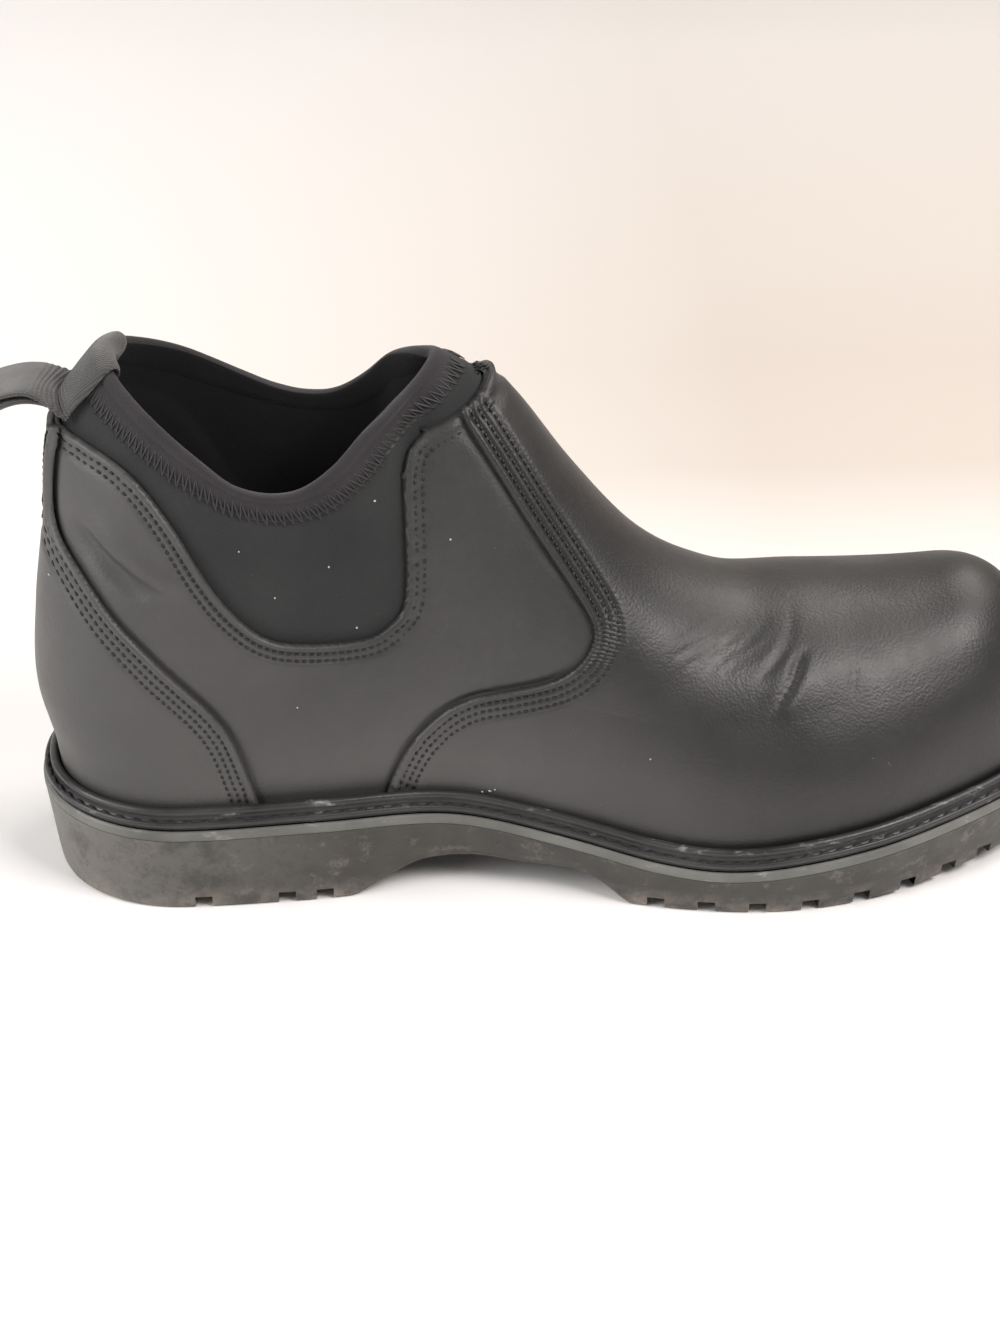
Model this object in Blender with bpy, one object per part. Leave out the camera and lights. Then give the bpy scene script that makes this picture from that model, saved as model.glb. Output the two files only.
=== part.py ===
"""A right side gore work boot: lugged sole, storm welt, lapped leather panels over a stretch collar.

Lengths are in metres. Meshes are drawn with x from the sole's rear end and z from the floor, and each
object is moved back so that the world's origin is under the heel. The outer side of the foot is at -Y.
"""
import math

import bmesh
import bpy
import numpy as np
from mathutils import Matrix

# Driving sizes of the last, the form the boot is made on
SOLE_LENGTH = 0.305
BALL_WIDTH = 0.095
HEEL_HEIGHT = 0.029
INSTEP_HEIGHT = 0.125
CUFF_RISE = 0.005
HEEL_LEDGE = 0.0075
TOE_LEDGE = 0.0085
LAST_LENGTH = SOLE_LENGTH - HEEL_LEDGE - TOE_LEDGE
CUFF_HEIGHT = INSTEP_HEIGHT + CUFF_RISE
BOOT_HEIGHT = HEEL_HEIGHT + CUFF_HEIGHT

# Rounding of the last's ends and the run of its heel curve
HEEL_REACH = 0.036
CUFF_REACH = 0.069
HEEL_POWER = 2.2
TOE_REACH = 0.078
TOE_POWER = 2.25
TOE_DOME = 0.032
HEEL_FALL = 0.42
REACH_START = 0.35
FLANK_SWELL = 0.0015
FLANK_HEIGHT = 0.040

# Collar line
COLLAR_FRONT = 0.1184
OUTER_DIP = 0.0319
INNER_DIP = 0.0255

# Thicknesses
CLEARANCE = 0.0003
SEAT_GAP = 0.0006
WELT_GAP = 0.0007
LEATHER = 0.0020
OVERLAY = 0.0014
STRETCH = 0.0024
FOLD_WIDTH = 0.009
FOLD = 0.0014
GORE_LAP = 0.009
INSOLE = 0.0040

# Sole unit
SOLE_LEDGE = 0.0075
MIDSOLE = 0.0032
WALL_TAPER = 0.003
EDGE_ROUND = 0.0012
MIDSOLE_ROUND = 0.0004
TOE_SPRING = 0.0095
WELT_SETBACK = 0.0006
WELT_FLAT = 0.0020
WELT_BEAD = 0.0055
BEAD_WIDTH = 0.0028
LUG_DEPTH = 0.004
SLOT_WIDTH = 0.005
SLOT_LENGTH = 0.024
BAR_LENGTH = 0.012
HEEL_REST = 0.045

# Pull loop
WEBBING_WIDTH = 0.023
WEBBING = 0.0016
WEBBING_INSET = 0.0078
WEBBING_TURN = 0.0026
WEBBING_STEP = 0.0020
INSIDE_BACK = (0.880, 0.940)
OVER_BACK = (0.955, 0.920, 0.895)
SEWN_AT = 0.875
LOOP_LENGTH = 0.050
LOOP_RISE = 0.010

# Mesh density
RING_STEPS = 48
WALL_ROWS = 11
GORE_START = 3
FOLD_ROWS = 2
SOLE_STEPS = 34

# Sections along the last: share of its length, outer and inner half widths as shares of the ball width
PLAN = (
    (0.00, 0.362, 0.357),
    (0.12, 0.380, 0.368),
    (0.25, 0.360, 0.342),
    (0.40, 0.305, 0.292),
    (0.50, 0.366, 0.318),
    (0.60, 0.464, 0.400),
    (0.70, 0.507, 0.484),
    (0.80, 0.474, 0.516),
    (0.90, 0.418, 0.511),
    (1.00, 0.400, 0.495),
)

# The last's bottom: share of the sole's length, height as a share of the heel height
SEAT = (
    (0.00, 1.020),
    (0.15, 0.975),
    (0.28, 0.985),
    (0.40, 0.925),
    (0.52, 0.720),
    (0.64, 0.550),
    (0.74, 0.630),
    (0.86, 0.780),
    (1.00, 0.980),
)

# The last's top: share of its length, height as a share of the instep height, roundness of the section
RIDGE = (
    (0.00, 3.370, 2.6),
    (0.20, 2.610, 2.8),
    (0.30, 1.720, 3.6),
    (0.36, 1.081, 4.2),
    (0.40, 1.028, 4.2),
    (0.43, 1.001, 4.0),
    (0.46, 0.936, 3.7),
    (0.51, 0.793, 3.3),
    (0.57, 0.648, 2.9),
    (0.65, 0.552, 2.6),
    (0.75, 0.500, 2.5),
    (0.85, 0.466, 2.6),
    (1.00, 0.470, 2.8),
)

# The heel's back: share of the cuff height, forward lean and flank swell as shares of the heel reach
BACK = (
    (0.000, 0.000, 0.000),
    (0.095, -0.033, 0.044),
    (0.233, -0.128, 0.061),
    (0.420, -0.081, 0.028),
    (0.620, 0.033, -0.023),
    (0.780, 0.093, -0.057),
    (0.850, 0.150, -0.074),
    (0.920, 0.288, -0.089),
    (1.000, 0.531, -0.109),
)

# The sole's underside without the toe spring: share of its length, height as a share of the heel height
TREAD = (
    (0.000, 0.05),
    (0.030, 0.00),
    (0.300, 0.00),
    (0.330, 0.16),
    (0.360, 0.31),
    (0.395, 0.36),
    (0.460, 0.32),
    (0.530, 0.23),
    (0.560, 0.00),
    (0.720, 0.00),
    (1.000, 0.00),
)
SPRING_START = 0.72

# Top edge of the leather in the side view: share of the sole's length, share of the boot's height
LEATHER_EDGE = (
    (-0.060, 0.880),
    (0.044, 0.879),
    (0.085, 0.862),
    (0.113, 0.834),
    (0.134, 0.794),
    (0.155, 0.736),
    (0.174, 0.668),
    (0.192, 0.610),
    (0.212, 0.564),
    (0.232, 0.534),
    (0.260, 0.520),
    (0.318, 0.517),
    (0.343, 0.539),
    (0.358, 0.585),
    (0.360, 0.720),
    (0.361, 0.810),
    (0.372, 0.864),
    (0.412, 0.905),
    (0.440, 0.942),
    (0.500, 1.020),
)

# Rear seam of the vamp, from above the leather's edge down to the welt, in the same shares
VAMP_SEAM = (
    (0.395, 0.965),
    (0.414, 0.889),
    (0.427, 0.849),
    (0.446, 0.790),
    (0.470, 0.713),
    (0.499, 0.625),
    (0.520, 0.560),
    (0.528, 0.525),
    (0.525, 0.493),
    (0.511, 0.457),
    (0.488, 0.430),
    (0.452, 0.409),
    (0.415, 0.391),
    (0.386, 0.360),
    (0.363, 0.316),
    (0.348, 0.271),
    (0.336, 0.215),
    (0.325, 0.120),
)

# Front seam of the heel counter, from above the leather's edge down to the welt
COUNTER_SEAM = (
    (0.058, 0.980),
    (0.051, 0.880),
    (0.046, 0.830),
    (0.042, 0.780),
    (0.041, 0.725),
    (0.048, 0.687),
    (0.067, 0.641),
    (0.092, 0.580),
    (0.117, 0.529),
    (0.137, 0.485),
    (0.157, 0.443),
    (0.177, 0.399),
    (0.193, 0.348),
    (0.205, 0.275),
    (0.213, 0.207),
    (0.219, 0.100),
)

# Lug grooves: shares of the sole's length
SIDE_SLOTS = (0.157, 0.236, 0.272, 0.585, 0.632, 0.680, 0.730, 0.780, 0.826, 0.868, 0.905)
CENTRE_BARS = (0.200, 0.608, 0.706, 0.756, 0.804, 0.848)

# Free part of the pull loop: shares of its length behind the sewn end and of its rise above it
LOOP_PATH = (
    (0.03, -0.06),
    (0.09, 0.08),
    (0.20, 0.42),
    (0.40, 0.66),
    (0.62, 0.55),
    (0.82, 0.15),
    (0.95, -0.35),
    (0.97, -0.75),
    (0.88, -0.95),
    (0.70, -0.72),
    (0.45, -0.32),
    (0.22, -0.22),
    (0.04, -0.24),
)


def curve(table, column, share):
    """Smooth curve through one column of a table, by its first column."""
    rows = np.array(table)
    at, value = rows[:, 0], rows[:, column]
    slope = np.gradient(value, at)
    share = np.clip(share, at[0], at[-1])
    row = np.clip(np.searchsorted(at, share) - 1, 0, len(at) - 2)
    step = at[row + 1] - at[row]
    u = (share - at[row]) / step
    start = value[row] * (1 + 2 * u) * (1 - u) ** 2 + slope[row] * step * u * (1 - u) ** 2
    return start + value[row + 1] * u * u * (3 - 2 * u) + slope[row + 1] * step * u * u * (u - 1)


def rounding(distance, reach, power):
    """0 at a rounded end, 1 from its reach on."""
    u = np.clip(1 - distance / reach, 0, 1)
    return (1 - u ** power) ** (1 / power)


def ease(value, start, end):
    """Smooth step from 0 at start to 1 at end."""
    u = np.clip((value - start) / (end - start), 0, 1)
    return u * u * (3 - 2 * u)


def seat(x):
    return HEEL_HEIGHT * curve(SEAT, 1, x / SOLE_LENGTH)


def ridge(x):
    """Height of the last's top line above its bottom."""
    from_toe = HEEL_LEDGE + LAST_LENGTH - x
    height = INSTEP_HEIGHT * curve(RIDGE, 1, (x - HEEL_LEDGE) / LAST_LENGTH)
    return height * rounding(from_toe, TOE_DOME, 2.3)


def heel_reach(height):
    """Length of the heel's rounding, which grows towards the collar."""
    return HEEL_REACH + (CUFF_REACH - HEEL_REACH) * ease(height / CUFF_HEIGHT, REACH_START, 1.0)


def back_lean(height):
    return HEEL_REACH * curve(BACK, 1, height / CUFF_HEIGHT)


def underside(x):
    spring = TOE_SPRING * np.maximum(0, (x / SOLE_LENGTH - SPRING_START) / (1 - SPRING_START)) ** 2
    return HEEL_HEIGHT * np.maximum(0, curve(TREAD, 1, x / SOLE_LENGTH)) + spring


def last_y(x, height, lean, side):
    """y of the last's surface at a height above its bottom; side is -1 for outer, 1 for inner.

    The lean is how far the heel's back curve has moved this point forward.
    """
    from_heel = x - lean - HEEL_LEDGE
    share = from_heel / LAST_LENGTH
    outer = BALL_WIDTH * curve(PLAN, 1, share)
    inner = BALL_WIDTH * curve(PLAN, 2, share)
    heel_end = rounding(from_heel, heel_reach(height), HEEL_POWER)
    ends = heel_end * rounding(LAST_LENGTH - from_heel, TOE_REACH, TOE_POWER)
    half = (outer + inner) / 2 * ends
    rise = np.clip(height / np.maximum(ridge(x), 1e-6), 0, 1)
    front = ease(x / SOLE_LENGTH, 0.30, 0.62)
    swell = HEEL_REACH * curve(BACK, 2, height / CUFF_HEIGHT) * (1 - front)
    swell = swell + FLANK_SWELL * front * np.sin(math.pi * np.clip(height / FLANK_HEIGHT, 0, 1))
    section = np.sqrt(np.clip(1 - rise ** curve(RIDGE, 2, share), 0, 1))
    return (inner - outer) / 2 + side * (half + swell * ends) * section


def collar_line(share, side):
    """Side view of the collar's edge, from the back (0) to the front (1)."""
    back_x = HEEL_LEDGE + back_lean(CUFF_HEIGHT)
    back_z = seat(HEEL_LEDGE) + CUFF_HEIGHT
    front_z = seat(COLLAR_FRONT) + ridge(COLLAR_FRONT)
    depth = np.where(side > 0, INNER_DIP, OUTER_DIP)
    dip = depth * np.clip(np.sin(math.pi * share ** 1.1), 0, 1) ** 1.18
    return back_x + (COLLAR_FRONT - back_x) * share, back_z + (front_z - back_z) * share - dip


def along_line(x, z, share):
    """Points at shares of the length of a line in the side view."""
    length = np.concatenate([[0], np.cumsum(np.hypot(np.diff(x), np.diff(z)))])
    return np.interp(share * length[-1], length, x), np.interp(share * length[-1], length, z)


def back_line(share):
    height = np.linspace(0, CUFF_HEIGHT, 200)
    return along_line(HEEL_LEDGE + back_lean(height), seat(HEEL_LEDGE) + height, share)


def ridge_xs():
    """Stations of the ridge from the toe's tip back to the collar, close together at the tip."""
    tip = HEEL_LEDGE + LAST_LENGTH
    return tip - (tip - COLLAR_FRONT) * (1 - np.cos(np.linspace(0, math.pi / 2, 400)))


def front_line(share):
    stations = ridge_xs()
    x = along_line(stations, seat(stations) + ridge(stations), share)[0]
    return x, seat(x) + ridge(x)


def last_point(angle, row, offset=0.0):
    """Points round the last: angle 0 is the back, pi the front; row 0 is the bottom edge, 1 the collar's."""
    angle, row = np.broadcast_arrays(np.asarray(angle, float), np.asarray(row, float))
    if np.any(offset):
        step = 1e-4
        round_it = last_point(angle + step, row) - last_point(angle - step, row)
        up_it = last_point(angle, np.minimum(row + step, 1)) - last_point(angle, np.maximum(row - step, 0))
        normal = np.cross(round_it, up_it)
        normal = normal / np.maximum(np.linalg.norm(normal, axis=-1, keepdims=True), 1e-12)
        return last_point(angle, row) + normal * np.asarray(offset)[..., None]
    share = (1 - np.cos(angle)) / 2
    side = np.where(np.sin(angle) > 0, -1.0, 1.0)
    foot_x = HEEL_LEDGE + LAST_LENGTH * share
    foot_z = seat(foot_x)
    top_x, top_z = collar_line(share, side)
    back_x, back_z = back_line(row)
    toe_x, toe_z = front_line(row)
    corners = [(0, top, *back_line(float(top))) for top in (0, 1)]
    corners += [(1, top, *front_line(float(top))) for top in (0, 1)]
    x = (1 - row) * foot_x + row * top_x + (1 - share) * back_x + share * toe_x
    z = (1 - row) * foot_z + row * top_z + (1 - share) * back_z + share * toe_z
    for front, top, corner_x, corner_z in corners:
        weight = (share if front else 1 - share) * (row if top else 1 - row)
        x = x - weight * corner_x
        z = z - weight * corner_z
    lean = (back_x - HEEL_LEDGE) * (1 - ease(share, 0, HEEL_FALL))
    return np.stack([x, last_y(x, z - seat(x), lean, side), z], axis=-1)


def smooth_line(points, steps=4):
    """Rounded line through points, with a few steps in each span."""
    points = [np.array(point, float) for point in points]
    padded = [2 * points[0] - points[1], *points, 2 * points[-1] - points[-2]]
    line = []
    for a, b, c, d in zip(padded, padded[1:], padded[2:], padded[3:]):
        for u in np.linspace(0, 1, steps, endpoint=False):
            line.append(0.5 * (2 * b + (c - a) * u + (2 * a - 5 * b + 4 * c - d) * u ** 2
                               + (3 * b - a - 3 * c + d) * u ** 3))
    line.append(points[-1])
    return np.array(line)


def seam_line(table):
    return smooth_line([(x * SOLE_LENGTH, z * BOOT_HEIGHT) for x, z in table])


def outline(height, offset):
    """Ring round the last at a height above its bottom, grown sideways by an offset.

    It runs from the back along the outer side to the toe and home along the inner side.
    """
    wanted = (1 - np.cos(np.linspace(0, math.pi, SOLE_STEPS))) / 2
    wanted = np.unique(np.concatenate([wanted, [row[0] for row in TREAD[1:-1]]]))
    back = HEEL_LEDGE + back_lean(height)
    ridges = ridge_xs()
    front = np.interp(height, ridge(ridges), ridges)
    x = back + (front - back) * wanted
    lean = back_lean(height) * (1 - ease(wanted, 0, HEEL_FALL))
    outer = np.stack([x, last_y(x, height, lean, -1)], axis=1)
    inner = np.stack([x, last_y(x, height, lean, 1)], axis=1)
    ring = np.concatenate([outer, inner[-2:0:-1]])
    along = np.roll(ring, -1, axis=0) - np.roll(ring, 1, axis=0)
    normal = np.stack([along[:, 1], -along[:, 0]], axis=1)
    return ring + offset * normal / np.linalg.norm(normal, axis=1, keepdims=True)


def material(name, colour, roughness):
    made = bpy.data.materials.new(name)
    made.use_nodes = True
    shader = made.node_tree.nodes["Principled BSDF"]
    shader.inputs["Base Color"].default_value = (*colour, 1.0)
    shader.inputs["Roughness"].default_value = roughness
    return made


def add_object(name, mesh, collection):
    made = bpy.data.objects.new(name, mesh)
    made.location.x = -HEEL_REST
    collection.objects.link(made)
    return made


def solid(name, points, faces, look):
    """Object from computed points and faces, triangulated and facing out."""
    mesh = bpy.data.meshes.new(name)
    mesh.from_pydata([tuple(point) for point in points], [], faces)
    work = bmesh.new()
    work.from_mesh(mesh)
    bmesh.ops.triangulate(work, faces=work.faces)
    bmesh.ops.recalc_face_normals(work, faces=work.faces)
    work.to_mesh(mesh)
    work.free()
    mesh.shade_smooth()
    mesh.set_sharp_from_angle(angle=math.radians(40))
    mesh.materials.append(look)
    return add_object(name, mesh, parts)


def loft(name, rings, look, closed):
    """Solid between rings of equally many points: closed joins the last ring to the first, otherwise
    each end is capped with strips from side to side."""
    count = len(rings[0])
    points = np.concatenate(rings)
    faces = []
    spans = len(rings) if closed else len(rings) - 1
    for level in range(spans):
        low, high = level * count, (level + 1) % len(rings) * count
        for i in range(count):
            j = (i + 1) % count
            faces.append((low + i, low + j, high + j, high + i))
    if not closed:
        for base in (0, (len(rings) - 1) * count):
            for i in range(1, count // 2):
                corners = (base + i, base + i - 1, base + (count + 1 - i) % count, base + count - i)
                faces.append(tuple(dict.fromkeys(corners)))
            faces.append((base + count // 2, base + count // 2 - 1, base + count // 2 + 1))
    return solid(name, points, faces, look)


def ring_angles():
    return np.linspace(0, 2 * math.pi, RING_STEPS, endpoint=False)


def wall_levels():
    """Rows that every shell shares, so that facets stay parallel: the last ones are the collar's fold."""
    rows = np.linspace(1.0, 0.6, 80)
    column = last_point(ring_angles()[:, None], rows[None, :])
    drop = np.cumsum(np.linalg.norm(np.diff(column, axis=1), axis=2), axis=1)
    fold = np.array([np.interp(FOLD_WIDTH, run, rows[1:]) for run in drop])
    levels = [fold * share for share in np.linspace(0, 1, WALL_ROWS, endpoint=False)]
    return levels + [fold + (1 - fold) * share for share in np.linspace(0, 1, FOLD_ROWS + 1)]


def wall(name, inner, outer, levels, look):
    """Shell round the last between two offsets, open above and below."""
    rings = [last_point(ring_angles(), level, outer) for level in levels]
    rings += [last_point(ring_angles(), level, inner) for level in reversed(levels)]
    return loft(name, rings, look, closed=True)


def plate(name, levels, look):
    """Solid across the whole plan from (ring, heights) levels, bottom first."""
    return loft(name, [np.column_stack([ring, heights]) for ring, heights in levels], look, closed=False)


def prism(name, line):
    """Cutter: a closed outline in the side view, run right across the boot."""
    work = bmesh.new()
    corners = [work.verts.new((x, -BALL_WIDTH, z)) for x, z in line]
    face = work.faces.new(corners)
    moved = bmesh.ops.extrude_face_region(work, geom=[face])["geom"]
    across = [item for item in moved if isinstance(item, bmesh.types.BMVert)]
    bmesh.ops.translate(work, verts=across, vec=(0, 2 * BALL_WIDTH, 0))
    bmesh.ops.recalc_face_normals(work, faces=work.faces)
    return cutter(name, work)


def cutter(name, work):
    mesh = bpy.data.meshes.new(name)
    work.to_mesh(mesh)
    work.free()
    made = add_object(name, mesh, cutters)
    made.hide_render = True
    made.display_type = "WIRE"
    return made


def boolean(target, tool, operation):
    modifier = target.modifiers.new(tool.name, "BOOLEAN")
    modifier.operation = operation
    modifier.object = tool
    modifier.solver = "EXACT"


def above(name, line):
    """Cutter for everything over a line in the side view."""
    ceiling = 2 * BOOT_HEIGHT
    return prism(name, [*line, (line[-1][0], ceiling), (line[0][0], ceiling)])


def below_gore():
    """Cutter for everything under the stretch collar's hidden lower edge."""
    line = seam_line(LEATHER_EDGE)
    along = np.gradient(line, axis=0)
    down = np.stack([along[:, 1], -along[:, 0]], axis=1)
    lower = line + GORE_LAP * down / np.linalg.norm(down, axis=1, keepdims=True)
    return prism("below_gore", [*lower, (SOLE_LENGTH, lower[-1][1]), (SOLE_LENGTH, 0.0), (lower[0][0], 0.0)])


def in_front(name, line):
    """Cutter for everything ahead of a seam in the side view."""
    beyond = SOLE_LENGTH + BOOT_HEIGHT
    return prism(name, [*line, (line[-1][0], 0.0), (beyond, 0.0), (beyond, line[0][1])])


def behind(name, line):
    """Cutter for everything behind a seam in the side view."""
    return prism(name, [*line, (line[-1][0], 0.0), (-BOOT_HEIGHT, 0.0), (-BOOT_HEIGHT, line[0][1])])


def add_outsole():
    top_ring = outline(0.0, SOLE_LEDGE - CLEARANCE)
    low_ring = outline(0.0, SOLE_LEDGE - WALL_TAPER)
    edge_ring = outline(0.0, SOLE_LEDGE - WALL_TAPER - EDGE_ROUND)
    top = seat(top_ring[:, 0]) - SEAT_GAP - MIDSOLE - CLEARANCE
    low = underside(low_ring[:, 0])
    levels = [
        (edge_ring, underside(edge_ring[:, 0])),
        (low_ring, low + EDGE_ROUND),
        (top_ring, top),
    ]
    made = plate("outsole", levels, material("outsole_rubber", (0.060, 0.050, 0.044), 0.62))
    boolean(made, lug_cutter(), "DIFFERENCE")
    return made


def lug_cutter():
    """Grooves that part the lugs: from each side, and short bars across the middle."""
    work = bmesh.new()
    ring = outline(0.0, SOLE_LEDGE - WALL_TAPER)
    half = len(ring) // 2
    for sign, points in ((-1, ring[:half + 1]), (1, np.concatenate([ring[half:], ring[:1]])[::-1])):
        for share in SIDE_SLOTS:
            x = share * SOLE_LENGTH
            y = np.interp(x, points[:, 0], points[:, 1])
            ahead = np.interp(x + SLOT_WIDTH, points[:, 0], points[:, 1])
            turn = math.atan2(ahead - y, SLOT_WIDTH) * 0.6
            add_groove(work, x, y, turn, SLOT_LENGTH)
    for share in CENTRE_BARS:
        add_groove(work, share * SOLE_LENGTH, 0.0, 0.0, BAR_LENGTH)
    return cutter("lug_grooves", work)


def add_groove(work, x, y, turn, length):
    depth = 2 * LUG_DEPTH
    size = Matrix.Diagonal((SLOT_WIDTH, length, depth, 1))
    place = Matrix.Translation((x, y, underside(x))) @ Matrix.Rotation(turn, 4, "Z")
    bmesh.ops.create_cube(work, size=1.0, matrix=place @ size)


def add_midsole():
    ring = outline(0.0, SOLE_LEDGE)
    low_ring = outline(0.0, SOLE_LEDGE - MIDSOLE_ROUND)
    top = seat(ring[:, 0]) - SEAT_GAP
    levels = [(low_ring, top - MIDSOLE), (ring, top - MIDSOLE * 0.5), (low_ring, top)]
    return plate("midsole", levels, material("midsole_rubber", (0.150, 0.155, 0.140), 0.60))


def add_insole():
    inset = -(LEATHER + 3 * CLEARANCE)
    low_ring, high_ring = outline(0.0, inset), outline(INSOLE, inset)
    levels = [
        (low_ring, seat(low_ring[:, 0])),
        (high_ring, seat(high_ring[:, 0]) + INSOLE),
    ]
    return plate("insole", levels, material("insole_foam", (0.020, 0.020, 0.021), 0.90))


def add_welt():
    """Ring on the midsole: a bead against the upper, then a flat for the stitching."""
    inside = CLEARANCE + OVERLAY + WELT_GAP
    edge = SOLE_LEDGE - WELT_SETBACK
    profile = (
        (inside, 0.0),
        (edge, 0.0),
        (edge, WELT_FLAT),
        (inside + BEAD_WIDTH, WELT_FLAT),
        (inside + BEAD_WIDTH, WELT_BEAD - EDGE_ROUND),
        (inside + BEAD_WIDTH * 0.6, WELT_BEAD),
        (inside + BEAD_WIDTH * 0.2, WELT_BEAD - MIDSOLE_ROUND),
    )
    rings = []
    for offset, height in profile:
        ring = outline(0.0, offset)
        if offset < inside + BEAD_WIDTH:
            ring = outline(height, offset)
        rings.append(np.column_stack([ring, seat(ring[:, 0]) + height]))
    return loft("welt", rings, material("welt_rubber", (0.018, 0.018, 0.018), 0.50), closed=True)


def add_upper(leather_top, leather):
    made = wall("upper", -LEATHER, 0.0, wall_levels(), leather)
    boolean(made, leather_top, "DIFFERENCE")
    return made


def add_overlay(name, seam, leather_top, leather):
    """Panel lapped over the side leather, cut from a larger shell by its seam and the leather's top edge."""
    made = wall(name, CLEARANCE, CLEARANCE + OVERLAY, wall_levels(), leather)
    boolean(made, leather_top, "DIFFERENCE")
    boolean(made, seam, "INTERSECT")
    return made


def add_gore_collar():
    """Stretch lining that shows as both side gores and as the collar above the leather."""
    outside = -LEATHER - CLEARANCE
    look = material("neoprene", (0.030, 0.034, 0.034), 0.85)
    made = wall("gore_collar", outside - STRETCH, outside, wall_levels()[GORE_START:], look)
    boolean(made, below_gore(), "DIFFERENCE")
    return made


def add_collar_fold():
    """Turned edge of the collar, a band on the outside of the stretch lining."""
    look = material("collar_edge", (0.026, 0.023, 0.027), 0.80)
    return wall("collar_fold", -LEATHER, -LEATHER + FOLD, wall_levels()[-FOLD_ROWS - 1:], look)


def back_point(share, offset):
    """Point of the side view beside the middle of the back, at a share of the cuff height."""
    height = share * CUFF_HEIGHT
    step = 1e-4
    lean = (back_lean(height) - back_lean(height - step)) / step
    away = np.array([-1.0, lean]) / math.hypot(1.0, lean)
    return np.array([HEEL_LEDGE + back_lean(height), seat(HEEL_LEDGE) + height]) + offset * away


def add_pull_loop():
    """Webbing from inside the collar, over its edge, down to the leather, and out as a flattened loop."""
    half = WEBBING / 2
    outside = FOLD - LEATHER + CLEARANCE + half
    inside = -(LEATHER + CLEARANCE + STRETCH + CLEARANCE + WEBBING_INSET + half)
    turn = WEBBING_TURN
    top = back_point(1.0, 0.0)
    up = top - back_point(0.985, 0.0)
    up = up / np.linalg.norm(up)
    away = back_point(1.0, 1.0) - top
    path = [back_point(share, inside) for share in INSIDE_BACK]
    for centre, first in ((inside + turn, math.pi), (outside - turn, math.pi / 2)):
        for angle in (first, first - math.pi / 4, first - math.pi / 2):
            rise = turn * math.sin(angle) - CLEARANCE
            path.append(top + away * (centre + turn * math.cos(angle)) + up * rise)
    path += [back_point(share, outside * 1.1) for share in OVER_BACK]
    sewn = back_point(SEWN_AT, outside)
    path += [sewn + np.array([-behind_it * LOOP_LENGTH, rise * LOOP_RISE]) for behind_it, rise in LOOP_PATH]
    x, z = smooth_line(path).T
    steps = round(np.sum(np.hypot(np.diff(x), np.diff(z))) / WEBBING_STEP)
    line = np.column_stack(along_line(x, z, np.linspace(0, 1, steps)))
    along = np.gradient(line, axis=0)
    side = np.stack([-along[:, 1], along[:, 0]], axis=1) / np.linalg.norm(along, axis=1, keepdims=True)
    rings = []
    for point, away in zip(line, side):
        corners = []
        for thick, across in ((1, -1), (1, 1), (-1, 1), (-1, -1)):
            x, z = point + thick * half * away
            corners.append((x, across * WEBBING_WIDTH / 2, z))
        rings.append(np.array(corners))
    return loft("pull_loop", rings, material("webbing", (0.075, 0.075, 0.078), 0.85), closed=False)


for old in list(bpy.data.objects):
    bpy.data.objects.remove(old, do_unlink=True)

parts = bpy.data.collections.new("side_gore_work_boot")
cutters = bpy.data.collections.new("cutters")
bpy.context.scene.collection.children.link(parts)
bpy.context.scene.collection.children.link(cutters)

above_leather = above("above_leather", seam_line(LEATHER_EDGE))
vamp_front = in_front("vamp_front", seam_line(VAMP_SEAM))
counter_back = behind("counter_back", seam_line(COUNTER_SEAM))

add_outsole()
add_midsole()
add_welt()
add_insole()
add_upper(above_leather, material("quarter_leather", (0.050, 0.050, 0.050), 0.48))
add_overlay("vamp", vamp_front, above_leather, material("vamp_leather", (0.048, 0.047, 0.047), 0.45))
add_overlay("heel_counter", counter_back, above_leather, material("counter_leather", (0.055, 0.055, 0.055), 0.50))
add_gore_collar()
add_collar_fold()
add_pull_loop()
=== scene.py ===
"""Looks of a right side gore work boot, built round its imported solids.

Lengths are in metres. The surface functions draw with x from the sole's rear end, and to_world moves the
points so that the world's origin is under the heel. The outer side of the foot is at -Y.
"""
import math
import random

import bmesh
import bpy
import numpy as np
from mathutils import Matrix, Vector


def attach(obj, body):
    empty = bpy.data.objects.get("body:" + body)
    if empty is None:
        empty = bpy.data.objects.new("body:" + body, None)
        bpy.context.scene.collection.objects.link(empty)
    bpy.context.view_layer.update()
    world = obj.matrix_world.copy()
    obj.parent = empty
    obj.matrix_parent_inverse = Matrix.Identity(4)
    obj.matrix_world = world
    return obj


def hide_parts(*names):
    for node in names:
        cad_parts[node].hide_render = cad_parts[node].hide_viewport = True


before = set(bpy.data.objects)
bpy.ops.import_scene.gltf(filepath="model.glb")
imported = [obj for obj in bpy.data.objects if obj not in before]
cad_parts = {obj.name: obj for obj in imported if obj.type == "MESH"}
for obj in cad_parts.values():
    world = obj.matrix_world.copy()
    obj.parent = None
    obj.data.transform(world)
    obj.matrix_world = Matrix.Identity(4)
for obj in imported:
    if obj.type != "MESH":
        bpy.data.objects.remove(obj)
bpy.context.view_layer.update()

# Driving sizes of the last
SOLE_LENGTH = 0.305
BALL_WIDTH = 0.095
HEEL_HEIGHT = 0.029
INSTEP_HEIGHT = 0.125
CUFF_HEIGHT = 0.130
HEEL_LEDGE = 0.0075
TOE_LEDGE = 0.0085
LAST_LENGTH = SOLE_LENGTH - HEEL_LEDGE - TOE_LEDGE
BOOT_HEIGHT = HEEL_HEIGHT + CUFF_HEIGHT
HEEL_REST = 0.045

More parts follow.
